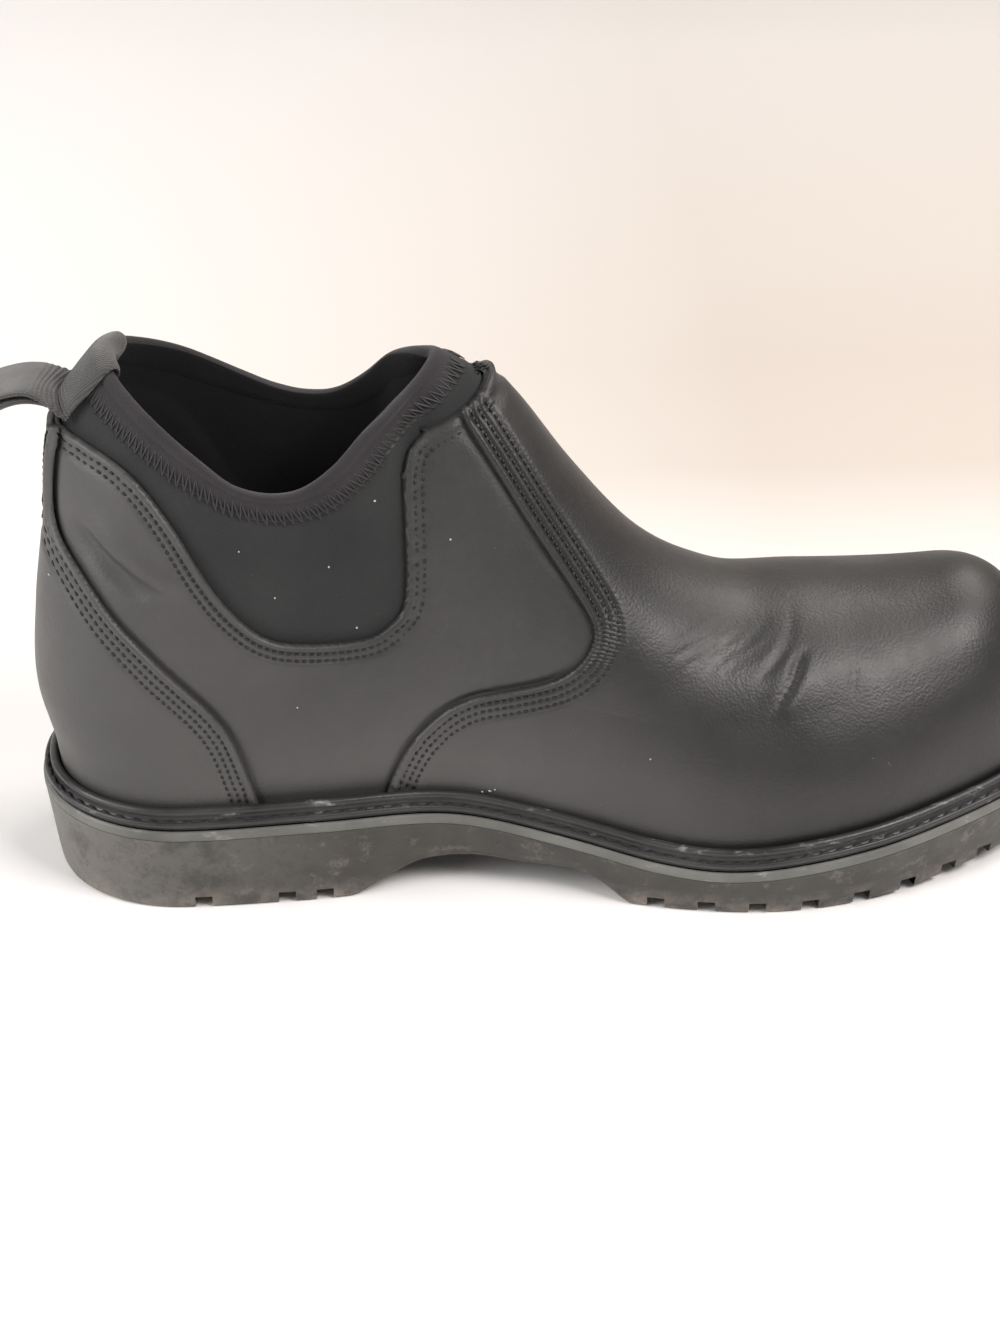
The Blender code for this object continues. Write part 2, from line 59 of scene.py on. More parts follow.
# Rounding of the last's ends
HEEL_REACH = 0.036
CUFF_REACH = 0.069
HEEL_POWER = 2.2
TOE_REACH = 0.078
TOE_POWER = 2.25
TOE_DOME = 0.032
DOME_POWER = 2.3
HEEL_FALL = 0.42
REACH_START = 0.35
FLANK_SWELL = 0.0015
FLANK_HEIGHT = 0.040
FLANK_FRONT = (0.30, 0.62)
COLLAR_FRONT = 0.1184
OUTER_DIP = 0.0319
INNER_DIP = 0.0255

# Thicknesses and offsets from the last's surface
CLEARANCE = 0.0003
LEATHER = 0.0020
OVERLAY = 0.0014
STRETCH = 0.0024
FOLD_WIDTH = 0.009
GORE_LAP = 0.009

# Sole unit
SOLE_LEDGE = 0.0075
SEAT_GAP = 0.0006
WELT_GAP = 0.0007
MIDSOLE = 0.0032
WALL_TAPER = 0.003
TOE_SPRING = 0.0095
WELT_FLAT = 0.0020
WELT_BEAD = 0.0055
BEAD_WIDTH = 0.0028
LUG_DEPTH = 0.004
SLOT_WIDTH = 0.005
SLOT_LENGTH = 0.024
BAR_LENGTH = 0.012
SPRING_START = 0.72
LUG_EDGE = 0.0011
SOLE_RING = 190

# Pull loop
WEBBING_WIDTH = 0.023
WEBBING = 0.0016
LOOP_LENGTH = 0.050
LOOP_RISE = 0.010
LOOP_SEWN = 0.905
WEB_POINTS = 25
WEB_RIBS = 23

# Share of the last's length, outer and inner half widths as shares of the ball width
PLAN = (
    (0.00, 0.362, 0.357), (0.12, 0.380, 0.368), (0.25, 0.360, 0.342), (0.40, 0.305, 0.292),
    (0.50, 0.366, 0.318), (0.60, 0.464, 0.400), (0.70, 0.507, 0.484), (0.80, 0.474, 0.516),
    (0.90, 0.418, 0.511), (1.00, 0.400, 0.495),
)
# Share of the sole's length, height as a share of the heel height
SEAT = (
    (0.00, 1.020), (0.15, 0.975), (0.28, 0.985), (0.40, 0.925), (0.52, 0.720),
    (0.64, 0.550), (0.74, 0.630), (0.86, 0.780), (1.00, 0.980),
)
# Share of the last's length, height as a share of the instep height, roundness of the section
RIDGE = (
    (0.00, 3.370, 2.6), (0.20, 2.610, 2.8), (0.30, 1.720, 3.6), (0.36, 1.081, 4.2), (0.40, 1.028, 4.2),
    (0.43, 1.001, 4.0), (0.46, 0.936, 3.7), (0.51, 0.793, 3.3), (0.57, 0.648, 2.9), (0.65, 0.552, 2.6),
    (0.75, 0.500, 2.5), (0.85, 0.466, 2.6), (1.00, 0.470, 2.8),
)
# Share of the cuff height, forward lean and flank swell as shares of the heel reach
BACK = (
    (0.000, 0.000, 0.000), (0.095, -0.033, 0.044), (0.233, -0.128, 0.061), (0.420, -0.081, 0.028),
    (0.620, 0.033, -0.023), (0.780, 0.093, -0.057), (0.850, 0.150, -0.074), (0.920, 0.288, -0.089),
    (1.000, 0.531, -0.109),
)
# Share of the sole's length, height of the underside as a share of the heel height
TREAD = (
    (0.000, 0.05), (0.030, 0.00), (0.300, 0.00), (0.330, 0.16), (0.360, 0.31), (0.395, 0.36),
    (0.460, 0.32), (0.530, 0.23), (0.560, 0.00), (0.720, 0.00), (1.000, 0.00),
)
# Share of the way along the collar, outer and inner dip of its edge as shares of the deepest
COLLAR_DIP = (
    (0.00, 0.000, 0.000), (0.04, 0.110, 0.050), (0.10, 0.245, 0.170), (0.20, 0.455, 0.374),
    (0.30, 0.668, 0.578), (0.40, 0.880, 0.755), (0.50, 0.968, 0.907), (0.60, 0.937, 0.980),
    (0.70, 0.759, 0.930), (0.80, 0.475, 0.688), (0.90, 0.270, 0.300), (0.95, 0.155, 0.130),
    (1.00, 0.000, 0.000),
)
# Seams in the side view: share of the sole's length, share of the boot's height
LEATHER_EDGE = (
    (-0.060, 0.880), (0.044, 0.879), (0.085, 0.862), (0.113, 0.834), (0.134, 0.794), (0.155, 0.736),
    (0.174, 0.668), (0.192, 0.610), (0.212, 0.564), (0.232, 0.534), (0.260, 0.520), (0.318, 0.517),
    (0.343, 0.539), (0.358, 0.585), (0.360, 0.720), (0.361, 0.810), (0.372, 0.864), (0.412, 0.905),
    (0.440, 0.942), (0.500, 1.020),
)
VAMP_SEAM = (
    (0.395, 0.965), (0.414, 0.889), (0.427, 0.849), (0.446, 0.790), (0.470, 0.713), (0.499, 0.625),
    (0.520, 0.560), (0.528, 0.525), (0.525, 0.493), (0.511, 0.457), (0.488, 0.430), (0.452, 0.409),
    (0.415, 0.391), (0.386, 0.360), (0.363, 0.316), (0.348, 0.271), (0.336, 0.215), (0.325, 0.120),
)
COUNTER_SEAM = (
    (0.058, 0.980), (0.051, 0.880), (0.046, 0.830), (0.042, 0.780), (0.041, 0.725), (0.048, 0.687),
    (0.067, 0.641), (0.092, 0.580), (0.117, 0.529), (0.137, 0.485), (0.157, 0.443), (0.177, 0.399),
    (0.193, 0.348), (0.205, 0.275), (0.213, 0.207), (0.219, 0.100),
)
SIDE_SLOTS = (0.157, 0.236, 0.272, 0.585, 0.632, 0.680, 0.730, 0.780, 0.826, 0.868, 0.905)
CENTRE_BARS = (0.200, 0.608, 0.706, 0.756, 0.804, 0.848)

# Creases in the leather: side (-1 outer, 1 inner, 0 both), share of the sole's length, share of the boot's
# height, direction in degrees from level, half length, half width, height (a trough is negative), bend
CREASES = (
    (-1, 0.7090, 0.406, 51, 0.0066, 0.0012, -0.00085, 12.0),
    (-1, 0.7160, 0.399, 51, 0.0070, 0.0022, 0.00055, 12.0),
    (-1, 0.7020, 0.413, 51, 0.0062, 0.0018, 0.00035, 12.0),
    (-1, 0.7170, 0.434, 47, 0.0030, 0.0010, -0.00045, 10.0),
    (-1, 0.6950, 0.436, 35, 0.0056, 0.0010, -0.00040, 8.0),
    (-1, 0.7110, 0.463, 57, 0.0048, 0.0011, -0.00040, 20.0),
    (-1, 0.7700, 0.405, 75, 0.0035, 0.0010, -0.00025, 0.0),
    (-1, 0.6260, 0.494, 13, 0.0055, 0.0009, -0.00026, -8.0),
    (-1, 0.6190, 0.475, 19, 0.0048, 0.0009, -0.00028, -8.0),
    (-1, 0.6420, 0.482, 18, 0.0052, 0.0009, -0.00026, -8.0),
    (-1, 0.6340, 0.462, 22, 0.0056, 0.0009, -0.00026, -8.0),
    (-1, 0.6540, 0.470, 22, 0.0052, 0.0009, -0.00026, -8.0),
    (-1, 0.6480, 0.452, 24, 0.0052, 0.0009, -0.00024, -8.0),
    (-1, 0.6680, 0.464, 27, 0.0048, 0.0009, -0.00024, -8.0),
    (-1, 0.6640, 0.446, 28, 0.0050, 0.0009, -0.00022, -8.0),
    (-1, 0.6800, 0.452, 31, 0.0044, 0.0009, -0.00022, -8.0),
    (-1, 0.6820, 0.474, 30, 0.0044, 0.0009, -0.00020, -8.0),
    (-1, 0.6400, 0.455, 24, 0.0200, 0.0060, -0.00050, 0.0),
    (-1, 0.7300, 0.395, 45, 0.0120, 0.0050, 0.00040, 0.0),
    (-1, 0.0940, 0.660, -36, 0.0125, 0.0028, -0.00140, 8.0),
    (-1, 0.1100, 0.684, -38, 0.0135, 0.0036, 0.00120, 8.0),
    (-1, 0.0840, 0.688, -42, 0.0085, 0.0017, -0.00090, 8.0),
    (-1, 0.1180, 0.640, -32, 0.0080, 0.0019, -0.00075, 8.0),
    (-1, 0.1020, 0.636, -36, 0.0070, 0.0015, -0.00050, 8.0),
    (-1, 0.4300, 0.640, 75, 0.0200, 0.0070, 0.00045, 3.0),
    (-1, 0.3950, 0.560, 80, 0.0180, 0.0060, -0.00045, 3.0),
    (-1, 0.3300, 0.400, 12, 0.0200, 0.0060, -0.00040, 3.0),
    (1, 0.7120, 0.412, 51, 0.0065, 0.0012, -0.00065, 14.0),
    (1, 0.7040, 0.408, 51, 0.0060, 0.0016, 0.00040, 14.0),
    (1, 0.6600, 0.460, 26, 0.0060, 0.0012, -0.00025, -8.0),
    (1, 0.6400, 0.450, 24, 0.0060, 0.0012, -0.00025, -8.0),
    (1, 0.6300, 0.455, 24, 0.0200, 0.0060, -0.00045, 0.0),
    (1, 0.1000, 0.655, -33, 0.0120, 0.0028, -0.00070, 8.0),
    (1, 0.1150, 0.680, -36, 0.0120, 0.0032, 0.00060, 8.0),
)
# Pale bits on the outer side: share of the sole's length, share of the boot's height, lift, size
SPECKS = (
    (0.0360, 0.615, 0.0018, 0.0013), (0.4320, 0.202, 0.0018, 0.0010), (0.4370, 0.206, 0.0018, 0.0006),
    (0.4250, 0.199, 0.0018, 0.0007), (0.3340, 0.771, -0.0012, 0.0007), (0.3130, 0.540, -0.0012, 0.0006),
    (0.2400, 0.610, -0.0012, 0.0005), (0.2100, 0.700, -0.0012, 0.0005), (0.2900, 0.660, -0.0012, 0.0005),
    (0.4000, 0.690, 0.0001, 0.0006), (0.2550, 0.400, 0.0001, 0.0005), (0.5800, 0.300, 0.0018, 0.0005),
)

# Edges of the panels
EDGE_ROUND = 0.0011
EDGE_DROP = 0.0012
ROLL_WIDTH = 0.0025
ROLL_HEIGHT = 0.00060
GROOVE_DEPTH = 0.00065
GROOVE_WIDTH = 0.00072
ROWS_TWO = (0.0029, 0.0050)
ROWS_THREE = (0.0028, 0.0049, 0.0070)
STITCH_PITCH = 0.0021
STITCH_ENDS = (0.10, 0.78)
STITCH_LIFT = 0.00012
STITCH_SIZE = (0.00090, 0.00055)
PRESS_DEPTH = 0.0008
PRESS_WIDTH = 0.0010
KNIT_RAISE = 0.0010
KNIT_REACH = 0.006
FOLD = 0.0014
LINED_FROM = 16

# Zigzag under the collar's fold, stitches of the welt, frayed threads at the instep
ZIGZAG_MIDDLE = 0.0080
ZIGZAG_STEP = 0.00120
ZIGZAG_DROPS = (0.0050, 0.0108)
ZIGZAG_STRAY = 0.0004
ZIGZAG_SIZE = (0.00055, 0.0005)
WELT_PITCH = 0.0050
WELT_STITCH = (0.0004, 0.0044)
WELT_STITCH_SIZE = (0.0012, 0.0011)
TUFT_PLACE = (0.427, 0.936)
TUFT_THREADS = 18
TUFT_SPREAD = ((-0.0030, 0.0020), (-0.0025, 0.0025), (0.0, 0.0008))
TUFT_REACH = ((-0.0018, 0.0022), (-0.002, 0.002), (0.0002, 0.0020))
TUFT_SIZE = (0.0005, 0.0004)
SPECK_SIZE = (0.0006, 0.0003)

# The wall behind the boot stands outside the circle that the camera can take
WALL_START = 1.0
WALL_BEND = 0.5
WALL_TOP = 2.5
FLOOR_FRONT = -2.5
FLOOR_SIDE = 3.0

# Camera, from the photograph
AZIMUTH = -1.662
ELEVATION = 29.12
ROLL = -0.88
DISTANCE = 0.8235
AIM = (0.0909, 0.0, 0.0546)
LENS = 75.6

rng = random.Random(7)


def curve(table, column, share):
    rows = np.array(table)
    at, value = rows[:, 0], rows[:, column]
    slope = np.gradient(value, at)
    share = np.clip(share, at[0], at[-1])
    row = np.clip(np.searchsorted(at, share) - 1, 0, len(at) - 2)
    step = at[row + 1] - at[row]
    u = (share - at[row]) / step
    start = value[row] * (1 + 2 * u) * (1 - u) ** 2 + slope[row] * step * u * (1 - u) ** 2
    return start + value[row + 1] * u * u * (3 - 2 * u) + slope[row + 1] * step * u * u * (u - 1)


def rounding(distance, reach, power):
    u = np.clip(1 - distance / reach, 0, 1)
    return (1 - u ** power) ** (1 / power)


def ease(value, start, end):
    u = np.clip((value - start) / (end - start), 0, 1)
    return u * u * (3 - 2 * u)


def bump(value, width):
    """1 in the middle of 0 to width, 0 outside."""
    return np.sin(math.pi * np.clip(value / width, 0, 1)) ** 2


def seat(x):
    return HEEL_HEIGHT * curve(SEAT, 1, x / SOLE_LENGTH)


def ridge(x):
    from_toe = HEEL_LEDGE + LAST_LENGTH - x
    height = INSTEP_HEIGHT * curve(RIDGE, 1, (x - HEEL_LEDGE) / LAST_LENGTH)
    return height * rounding(from_toe, TOE_DOME, DOME_POWER)


def heel_reach(height):
    return HEEL_REACH + (CUFF_REACH - HEEL_REACH) * ease(height / CUFF_HEIGHT, REACH_START, 1.0)


def back_lean(height):
    return HEEL_REACH * curve(BACK, 1, height / CUFF_HEIGHT)


def underside(x):
    spring = TOE_SPRING * np.maximum(0, (x / SOLE_LENGTH - SPRING_START) / (1 - SPRING_START)) ** 2
    return HEEL_HEIGHT * np.maximum(0, curve(TREAD, 1, x / SOLE_LENGTH)) + spring


def last_y(x, height, lean, side):
    from_heel = x - lean - HEEL_LEDGE
    share = from_heel / LAST_LENGTH
    outer = BALL_WIDTH * curve(PLAN, 1, share)
    inner = BALL_WIDTH * curve(PLAN, 2, share)
    heel_end = rounding(from_heel, heel_reach(height), HEEL_POWER)
    ends = heel_end * rounding(LAST_LENGTH - from_heel, TOE_REACH, TOE_POWER)
    half = (outer + inner) / 2 * ends
    rise = np.clip(height / np.maximum(ridge(x), 1e-6), 0, 1)
    front = ease(x / SOLE_LENGTH, *FLANK_FRONT)
    swell = HEEL_REACH * curve(BACK, 2, height / CUFF_HEIGHT) * (1 - front)
    swell = swell + FLANK_SWELL * front * np.sin(math.pi * np.clip(height / FLANK_HEIGHT, 0, 1))
    section = np.sqrt(np.clip(1 - rise ** curve(RIDGE, 2, share), 0, 1))
    return (inner - outer) / 2 + side * (half + swell * ends) * section


def collar_line(share, side):
    back_x = HEEL_LEDGE + back_lean(CUFF_HEIGHT)
    back_z = seat(HEEL_LEDGE) + CUFF_HEIGHT
    front_z = seat(COLLAR_FRONT) + ridge(COLLAR_FRONT)
    outer = OUTER_DIP * curve(COLLAR_DIP, 1, share)
    inner = INNER_DIP * curve(COLLAR_DIP, 2, share)
    dip = np.where(side > 0, inner, outer)
    return back_x + (COLLAR_FRONT - back_x) * share, back_z + (front_z - back_z) * share - dip


def along_line(x, z, share):
    length = np.concatenate([[0], np.cumsum(np.hypot(np.diff(x), np.diff(z)))])
    return np.interp(share * length[-1], length, x), np.interp(share * length[-1], length, z)


def back_line(share):
    height = np.linspace(0, CUFF_HEIGHT, 200)
    return along_line(HEEL_LEDGE + back_lean(height), seat(HEEL_LEDGE) + height, share)


def ridge_xs():
    tip = HEEL_LEDGE + LAST_LENGTH
    return tip - (tip - COLLAR_FRONT) * (1 - np.cos(np.linspace(0, math.pi / 2, 400)))


def front_line(share):
    stations = ridge_xs()
    x = along_line(stations, seat(stations) + ridge(stations), share)[0]
    return x, seat(x) + ridge(x)


def last_point(angle, row, offset=0.0):
    """Points round the last: angle 0 is the back, pi the front; row 0 is the bottom edge, 1 the collar's."""
    angle, row = np.broadcast_arrays(np.asarray(angle, float), np.asarray(row, float))
    if np.any(offset):
        return last_point(angle, row) + last_normal(angle, row) * np.asarray(offset)[..., None]
    share = (1 - np.cos(angle)) / 2
    side = np.where(np.sin(angle) > 0, -1.0, 1.0)
    foot_x = HEEL_LEDGE + LAST_LENGTH * share
    foot_z = seat(foot_x)
    top_x, top_z = collar_line(share, side)
    back_x, back_z = back_line(row)
    toe_x, toe_z = front_line(row)
    corners = [(0, top, *back_line(float(top))) for top in (0, 1)]
    corners += [(1, top, *front_line(float(top))) for top in (0, 1)]
    x = (1 - row) * foot_x + row * top_x + (1 - share) * back_x + share * toe_x
    z = (1 - row) * foot_z + row * top_z + (1 - share) * back_z + share * toe_z
    for front, top, corner_x, corner_z in corners:
        weight = (share if front else 1 - share) * (row if top else 1 - row)
        x = x - weight * corner_x
        z = z - weight * corner_z
    lean = (back_x - HEEL_LEDGE) * (1 - ease(share, 0, HEEL_FALL))
    return np.stack([x, last_y(x, z - seat(x), lean, side), z], axis=-1)


def unit(vectors):
    return vectors / np.maximum(np.linalg.norm(vectors, axis=-1, keepdims=True), 1e-12)


def side_view(angle, row):
    """Length and height of a place on the last, as the side view shows them."""
    x, _, z = np.moveaxis(last_point(angle, row), -1, 0)
    return x, z


def last_normal(angle, row):
    step = 1e-4
    round_it = last_point(angle + step, row) - last_point(angle - step, row)
    up_it = last_point(angle, np.minimum(row + step, 1)) - last_point(angle, np.maximum(row - step, 0))
    return unit(np.cross(round_it, up_it))


def run_of(points):
    """Distance of each point from the start, along the line."""
    steps = np.linalg.norm(np.diff(points, axis=0), axis=1)
    return np.concatenate([[0], np.cumsum(steps)])


def points_at(distance, run, points):
    """Places at distances along a line of points."""
    return np.stack([np.interp(distance, run, column) for column in points.T], axis=1)


def smooth_line(points, steps=4):
    points = [np.array(point, float) for point in points]
    padded = [2 * points[0] - points[1], *points, 2 * points[-1] - points[-2]]
    line = []
    for a, b, c, d in zip(padded, padded[1:], padded[2:], padded[3:]):
        for u in np.linspace(0, 1, steps, endpoint=False):
            line.append(0.5 * (2 * b + (c - a) * u + (2 * a - 5 * b + 4 * c - d) * u ** 2
                               + (3 * b - a - 3 * c + d) * u ** 3))
    line.append(points[-1])
    return np.array(line)


def seam_line(table):
    return smooth_line([(x * SOLE_LENGTH, z * BOOT_HEIGHT) for x, z in table])


def outline(height, offset, steps):
    """Ring round the last at a height above its bottom, grown sideways by an offset."""
    wanted = (1 - np.cos(np.linspace(0, math.pi, steps))) / 2
    back = HEEL_LEDGE + back_lean(height)
    ridges = ridge_xs()
    front = np.interp(height, ridge(ridges), ridges)
    x = back + (front - back) * wanted
    lean = back_lean(height) * (1 - ease(wanted, 0, HEEL_FALL))
    outer = np.stack([x, last_y(x, height, lean, -1)], axis=1)
    inner = np.stack([x, last_y(x, height, lean, 1)], axis=1)
    ring = np.concatenate([outer, inner[-2:0:-1]])
    along = np.roll(ring, -1, axis=0) - np.roll(ring, 1, axis=0)
    normal = np.stack([along[:, 1], -along[:, 0]], axis=1)
    return ring + offset * unit(normal)


def signed_distance(line, x, z):
    """Distance to a line in the side view, positive on the right of its direction."""
    start, span = line[:-1], np.diff(line, axis=0)
    flat_x, flat_z = np.ravel(x), np.ravel(z)
    best = np.full(flat_x.shape, np.inf)
    sign = np.ones(flat_x.shape)
    for (ax, az), (dx, dz) in zip(start, span):
        share = np.clip(((flat_x - ax) * dx + (flat_z - az) * dz) / (dx * dx + dz * dz), 0, 1)
        off_x, off_z = flat_x - ax - share * dx, flat_z - az - share * dz
        distance = np.hypot(off_x, off_z)
        nearer = distance < best
        best = np.where(nearer, distance, best)
        sign = np.where(nearer, np.where(dz * off_x - dx * off_z >= 0, 1.0, -1.0), sign)
    return (best * sign).reshape(np.shape(x))


def edge_profile(distance, rows):
    """Offset of a panel near its turned edge: rounded, rolled, with a groove under each stitch row."""
    u = np.clip(1 - distance / EDGE_ROUND, 0, 1)
    offset = -EDGE_DROP * (1 - np.sqrt(1 - u * u))
    offset = offset + ROLL_HEIGHT * bump(distance, ROLL_WIDTH)
    for row in rows:
        offset = offset - GROOVE_DEPTH * np.exp(-((distance - row) / GROOVE_WIDTH) ** 2)
    return offset


def creases(x, z, side):
    total = np.zeros(np.shape(x))
    for on_side, at_x, at_z, turn, length, width, height, bend in CREASES:
        across, up = x - at_x * SOLE_LENGTH, z - at_z * BOOT_HEIGHT
        cos, sin = math.cos(math.radians(turn)), math.sin(math.radians(turn))
        along = across * cos + up * sin
        off = up * cos - across * sin - bend * along * along
        here = height * np.exp(-(off / width) ** 2 - (along / length) ** 4)
        total = total + np.where(side == on_side, here, 0)
    return total


def side_of(angle):
    return np.where(np.sin(angle) > 0, -1, 1)


def quarter_offset(angle, row):
    x, z = side_view(angle, row)
    top = signed_distance(leather_line, x, z)
    pressed = np.exp(-(signed_distance(vamp_line, x, z) / PRESS_WIDTH) ** 2)
    pressed = pressed + np.exp(-(signed_distance(counter_line, x, z) / PRESS_WIDTH) ** 2)
    return edge_profile(top, ROWS_TWO) + creases(x, z, side_of(angle)) - PRESS_DEPTH * pressed


def vamp_offset(angle, row):
    x, z = side_view(angle, row)
    top = signed_distance(leather_line, x, z)
    seam = -signed_distance(vamp_line, x, z)
    base = CLEARANCE + OVERLAY + edge_profile(seam, ROWS_THREE) + edge_profile(top, ROWS_TWO)
    return base + creases(x, z, side_of(angle))


def counter_offset(angle, row):
    x, z = side_view(angle, row)
    top = signed_distance(leather_line, x, z)
    seam = signed_distance(counter_line, x, z)
    return CLEARANCE + OVERLAY + edge_profile(seam, ROWS_THREE) + edge_profile(top, ROWS_TWO)


def gore_offset(angle, row):
    x, z = side_view(angle, row)
    shown = -signed_distance(leather_line, x, z)
    return -LEATHER - CLEARANCE + KNIT_RAISE * ease(shown, 0.0, KNIT_REACH)


def on_last(x, z, side):
    """Angles and rows of places in the side view, by a near grid point and a few Newton steps."""
    angles, rows = np.meshgrid(np.linspace(0.01, math.pi - 0.01, 140), np.linspace(0, 1, 60))
    grid = last_point(-side * angles, rows)
    a, r = np.empty(len(x)), np.empty(len(x))
    for i, (px, pz) in enumerate(zip(x, z)):
        near = np.argmin((grid[..., 0] - px) ** 2 + (grid[..., 2] - pz) ** 2)
        a[i], r[i] = angles.flat[near], rows.flat[near]
    step = 1e-4
    for _ in range(5):
        here = last_point(-side * a, r)
        by_a = (last_point(-side * (a + step), r) - here) / step
        by_r = (last_point(-side * a, r - step) - here) / -step
        off_x, off_z = x - here[:, 0], z - here[:, 2]
        cross = by_a[:, 0] * by_r[:, 2] - by_a[:, 2] * by_r[:, 0]
        cross = np.where(np.abs(cross) < 1e-9, 1e-9, cross)
        turn = (off_x * by_r[:, 2] - off_z * by_r[:, 0]) / cross
        rise = (by_a[:, 0] * off_z - by_a[:, 2] * off_x) / cross
        a = np.clip(a + np.clip(turn, -0.1, 0.1), 0.004, math.pi - 0.004)
        r = np.clip(r + np.clip(rise, -0.1, 0.1), 0.001, 1)
    return -side * a, r


def to_world(points):
    return np.asarray(points) - np.array([HEEL_REST, 0.0, 0.0])


def add_piece(name, points, faces, look, node=None):
    """Mesh object in place on the boot, in place of a CAD node where one is named."""
    mesh = bpy.data.meshes.new(name)
    mesh.from_pydata(to_world(points).tolist(), [], faces)
    mesh.shade_smooth()
    mesh.materials.append(look)
    made = bpy.data.objects.new(name, mesh)
    bpy.context.scene.collection.objects.link(made)
    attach(made, "root")
    if node:
        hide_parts(node)
    return made


def cut_grid(angles, rows, closed, keep):
    """Triangles of a grid of angles and rows where keep(angle, row) is above 0, cut along its zero line."""
    a, r = (part.ravel() for part in np.meshgrid(angles, rows, indexing="ij"))
    wide, high = len(angles), len(rows)
    column = np.arange(wide if closed else wide - 1)[:, None] * high
    after = (column + high) % (wide * high)
    i = np.arange(high - 1)[None, :]
    corner = [(column + i).ravel(), (after + i).ravel(), (after + i + 1).ravel(), (column + i + 1).ravel()]
    tris = np.concatenate([np.stack(corner[:3], 1), np.stack([corner[0], corner[2], corner[3]], 1)])
    value = keep(a, r)
    inside = value > 0
    count = inside[tris].sum(axis=1)
    faces = tris[count == 3].tolist()
    cuts = {}
    new_a, new_r = [], []

    def cut(p, q):
        key = (min(p, q), max(p, q))
        if key not in cuts:
            share = value[key[0]] / (value[key[0]] - value[key[1]])
            near = a[key[1]] - a[key[0]]
            near -= 2 * math.pi * round(near / (2 * math.pi))
            cuts[key] = len(a) + len(new_a)
            new_a.append(a[key[0]] + near * share)
            new_r.append(r[key[0]] + (r[key[1]] - r[key[0]]) * share)
        return cuts[key]

    for tri in tris[(count == 1) | (count == 2)].tolist():
        while inside[tri[0]] == inside[tri[1]] or (inside[tri[0]] == inside[tri[2]]):
            tri = [tri[1], tri[2], tri[0]]
        lone, second, third = tri
        left, right = cut(lone, second), cut(lone, third)
        if inside[lone]:
            faces.append([lone, left, right])
        else:
            faces.append([left, second, third])
            faces.append([left, third, right])
    a, r = np.concatenate([a, new_a]), np.concatenate([r, new_r])
    faces = np.array(faces)
    used = np.unique(faces)
    place = np.zeros(len(a), int)
    place[used] = np.arange(len(used))
    return a[used], r[used], place[faces]


def spread(start, end, count, row):
    """Angles equally far apart along a row."""
    fine = np.linspace(start, end, 1500)
    line = last_point(fine, row)
    length = run_of(line)
    return np.interp(np.linspace(0, length[-1], count), length, fine)


def panel(name, angles, rows, closed, keep, offset, thickness, look, node):
    """Sheet of leather or knit on the last, with its own thickness inwards."""
    a, r, faces = cut_grid(angles, rows, closed, keep)
    points = last_point(a, r) + last_normal(a, r) * offset(a, r)[:, None]
    made = add_piece(name, points, faces.tolist(), look, node)
    solidify = made.modifiers.new("thickness", "SOLIDIFY")
    solidify.thickness = thickness
    solidify.offset = -1.0
    return made


def grains(name, starts, ends, ups, width, height, look):
    """Short threads: one slim closed grain from each start to its end."""
    sides, levels = 5, ((0.06, 0.55), (0.32, 1.0), (0.68, 1.0), (0.94, 0.55))
    along = ends - starts
    length = np.linalg.norm(along, axis=1, keepdims=True)
    along = along / length
    across = unit(np.cross(along, ups))
    ups = np.cross(across, along)
    points, faces = [], []
    turns = np.linspace(0, 2 * math.pi, sides, endpoint=False)
    for start, run, far, side, up in zip(starts, along, length[:, 0], across, ups):
        base = len(points)
        points.append(start)
        for at, full in levels:
            arch = up * height * 0.35 * math.sin(math.pi * at)
            for turn in turns:
                ring = side * math.cos(turn) * width / 2 + up * math.sin(turn) * height / 2
                points.append(start + run * far * at + ring * full + arch)
        points.append(start + run * far)
        last = len(points) - 1
        for k in range(sides):
            n = (k + 1) % sides
            faces.append((base, base + 1 + n, base + 1 + k))
            faces.append((last, last - sides + k, last - sides + n))
            for level in range(len(levels) - 1):
                low = base + 1 + level * sides
                faces.append((low + k, low + n, low + sides + n, low + sides + k))
    return add_piece(name, np.array(points), faces, look)


def row_places(line, distance, side, limit):
    """Starts and ends of the stitches of a row beside a seam, as side view places."""
    along = np.gradient(line, axis=0)
    right = unit(np.stack([along[:, 1], -along[:, 0]], axis=1))
    shifted = line + right * distance
    length = np.concatenate([[0], np.cumsum(np.hypot(*np.diff(shifted, axis=0).T))])
    at = np.arange(0.0, length[-1], STITCH_PITCH)
    start, end = (points_at(at + share * STITCH_PITCH, length, shifted) for share in STITCH_ENDS)
    middle = (start + end) / 2
    kept = limit(middle[:, 0], middle[:, 1])
    return start[kept], end[kept]


def add_stitches(name, rows, offset, look):
    """Stitch rows on both sides of a panel: rows holds (line, signed distance, limit)."""
    starts, ends, ups = [], [], []
    for line, distance, limit in rows:
        for side in (-1, 1):
            first, last = row_places(line, distance, side, limit)
            found = [on_last(place[:, 0], place[:, 1], side) for place in (first, last)]
            a, r = (found[0][0] + found[1][0]) / 2, (found[0][1] + found[1][1]) / 2
            for (angle, row), out in zip(found, (starts, ends)):
                lift = offset(angle, row) + STITCH_LIFT
                out.append(last_point(angle, row) + last_normal(angle, row) * lift[:, None])
            ups.append(last_normal(a, r))
    starts, ends, ups = (np.concatenate(part) for part in (starts, ends, ups))
    good = np.linalg.norm(ends - starts, axis=1) < 2 * STITCH_PITCH
    return grains(name, starts[good], ends[good], ups[good], *STITCH_SIZE, look)


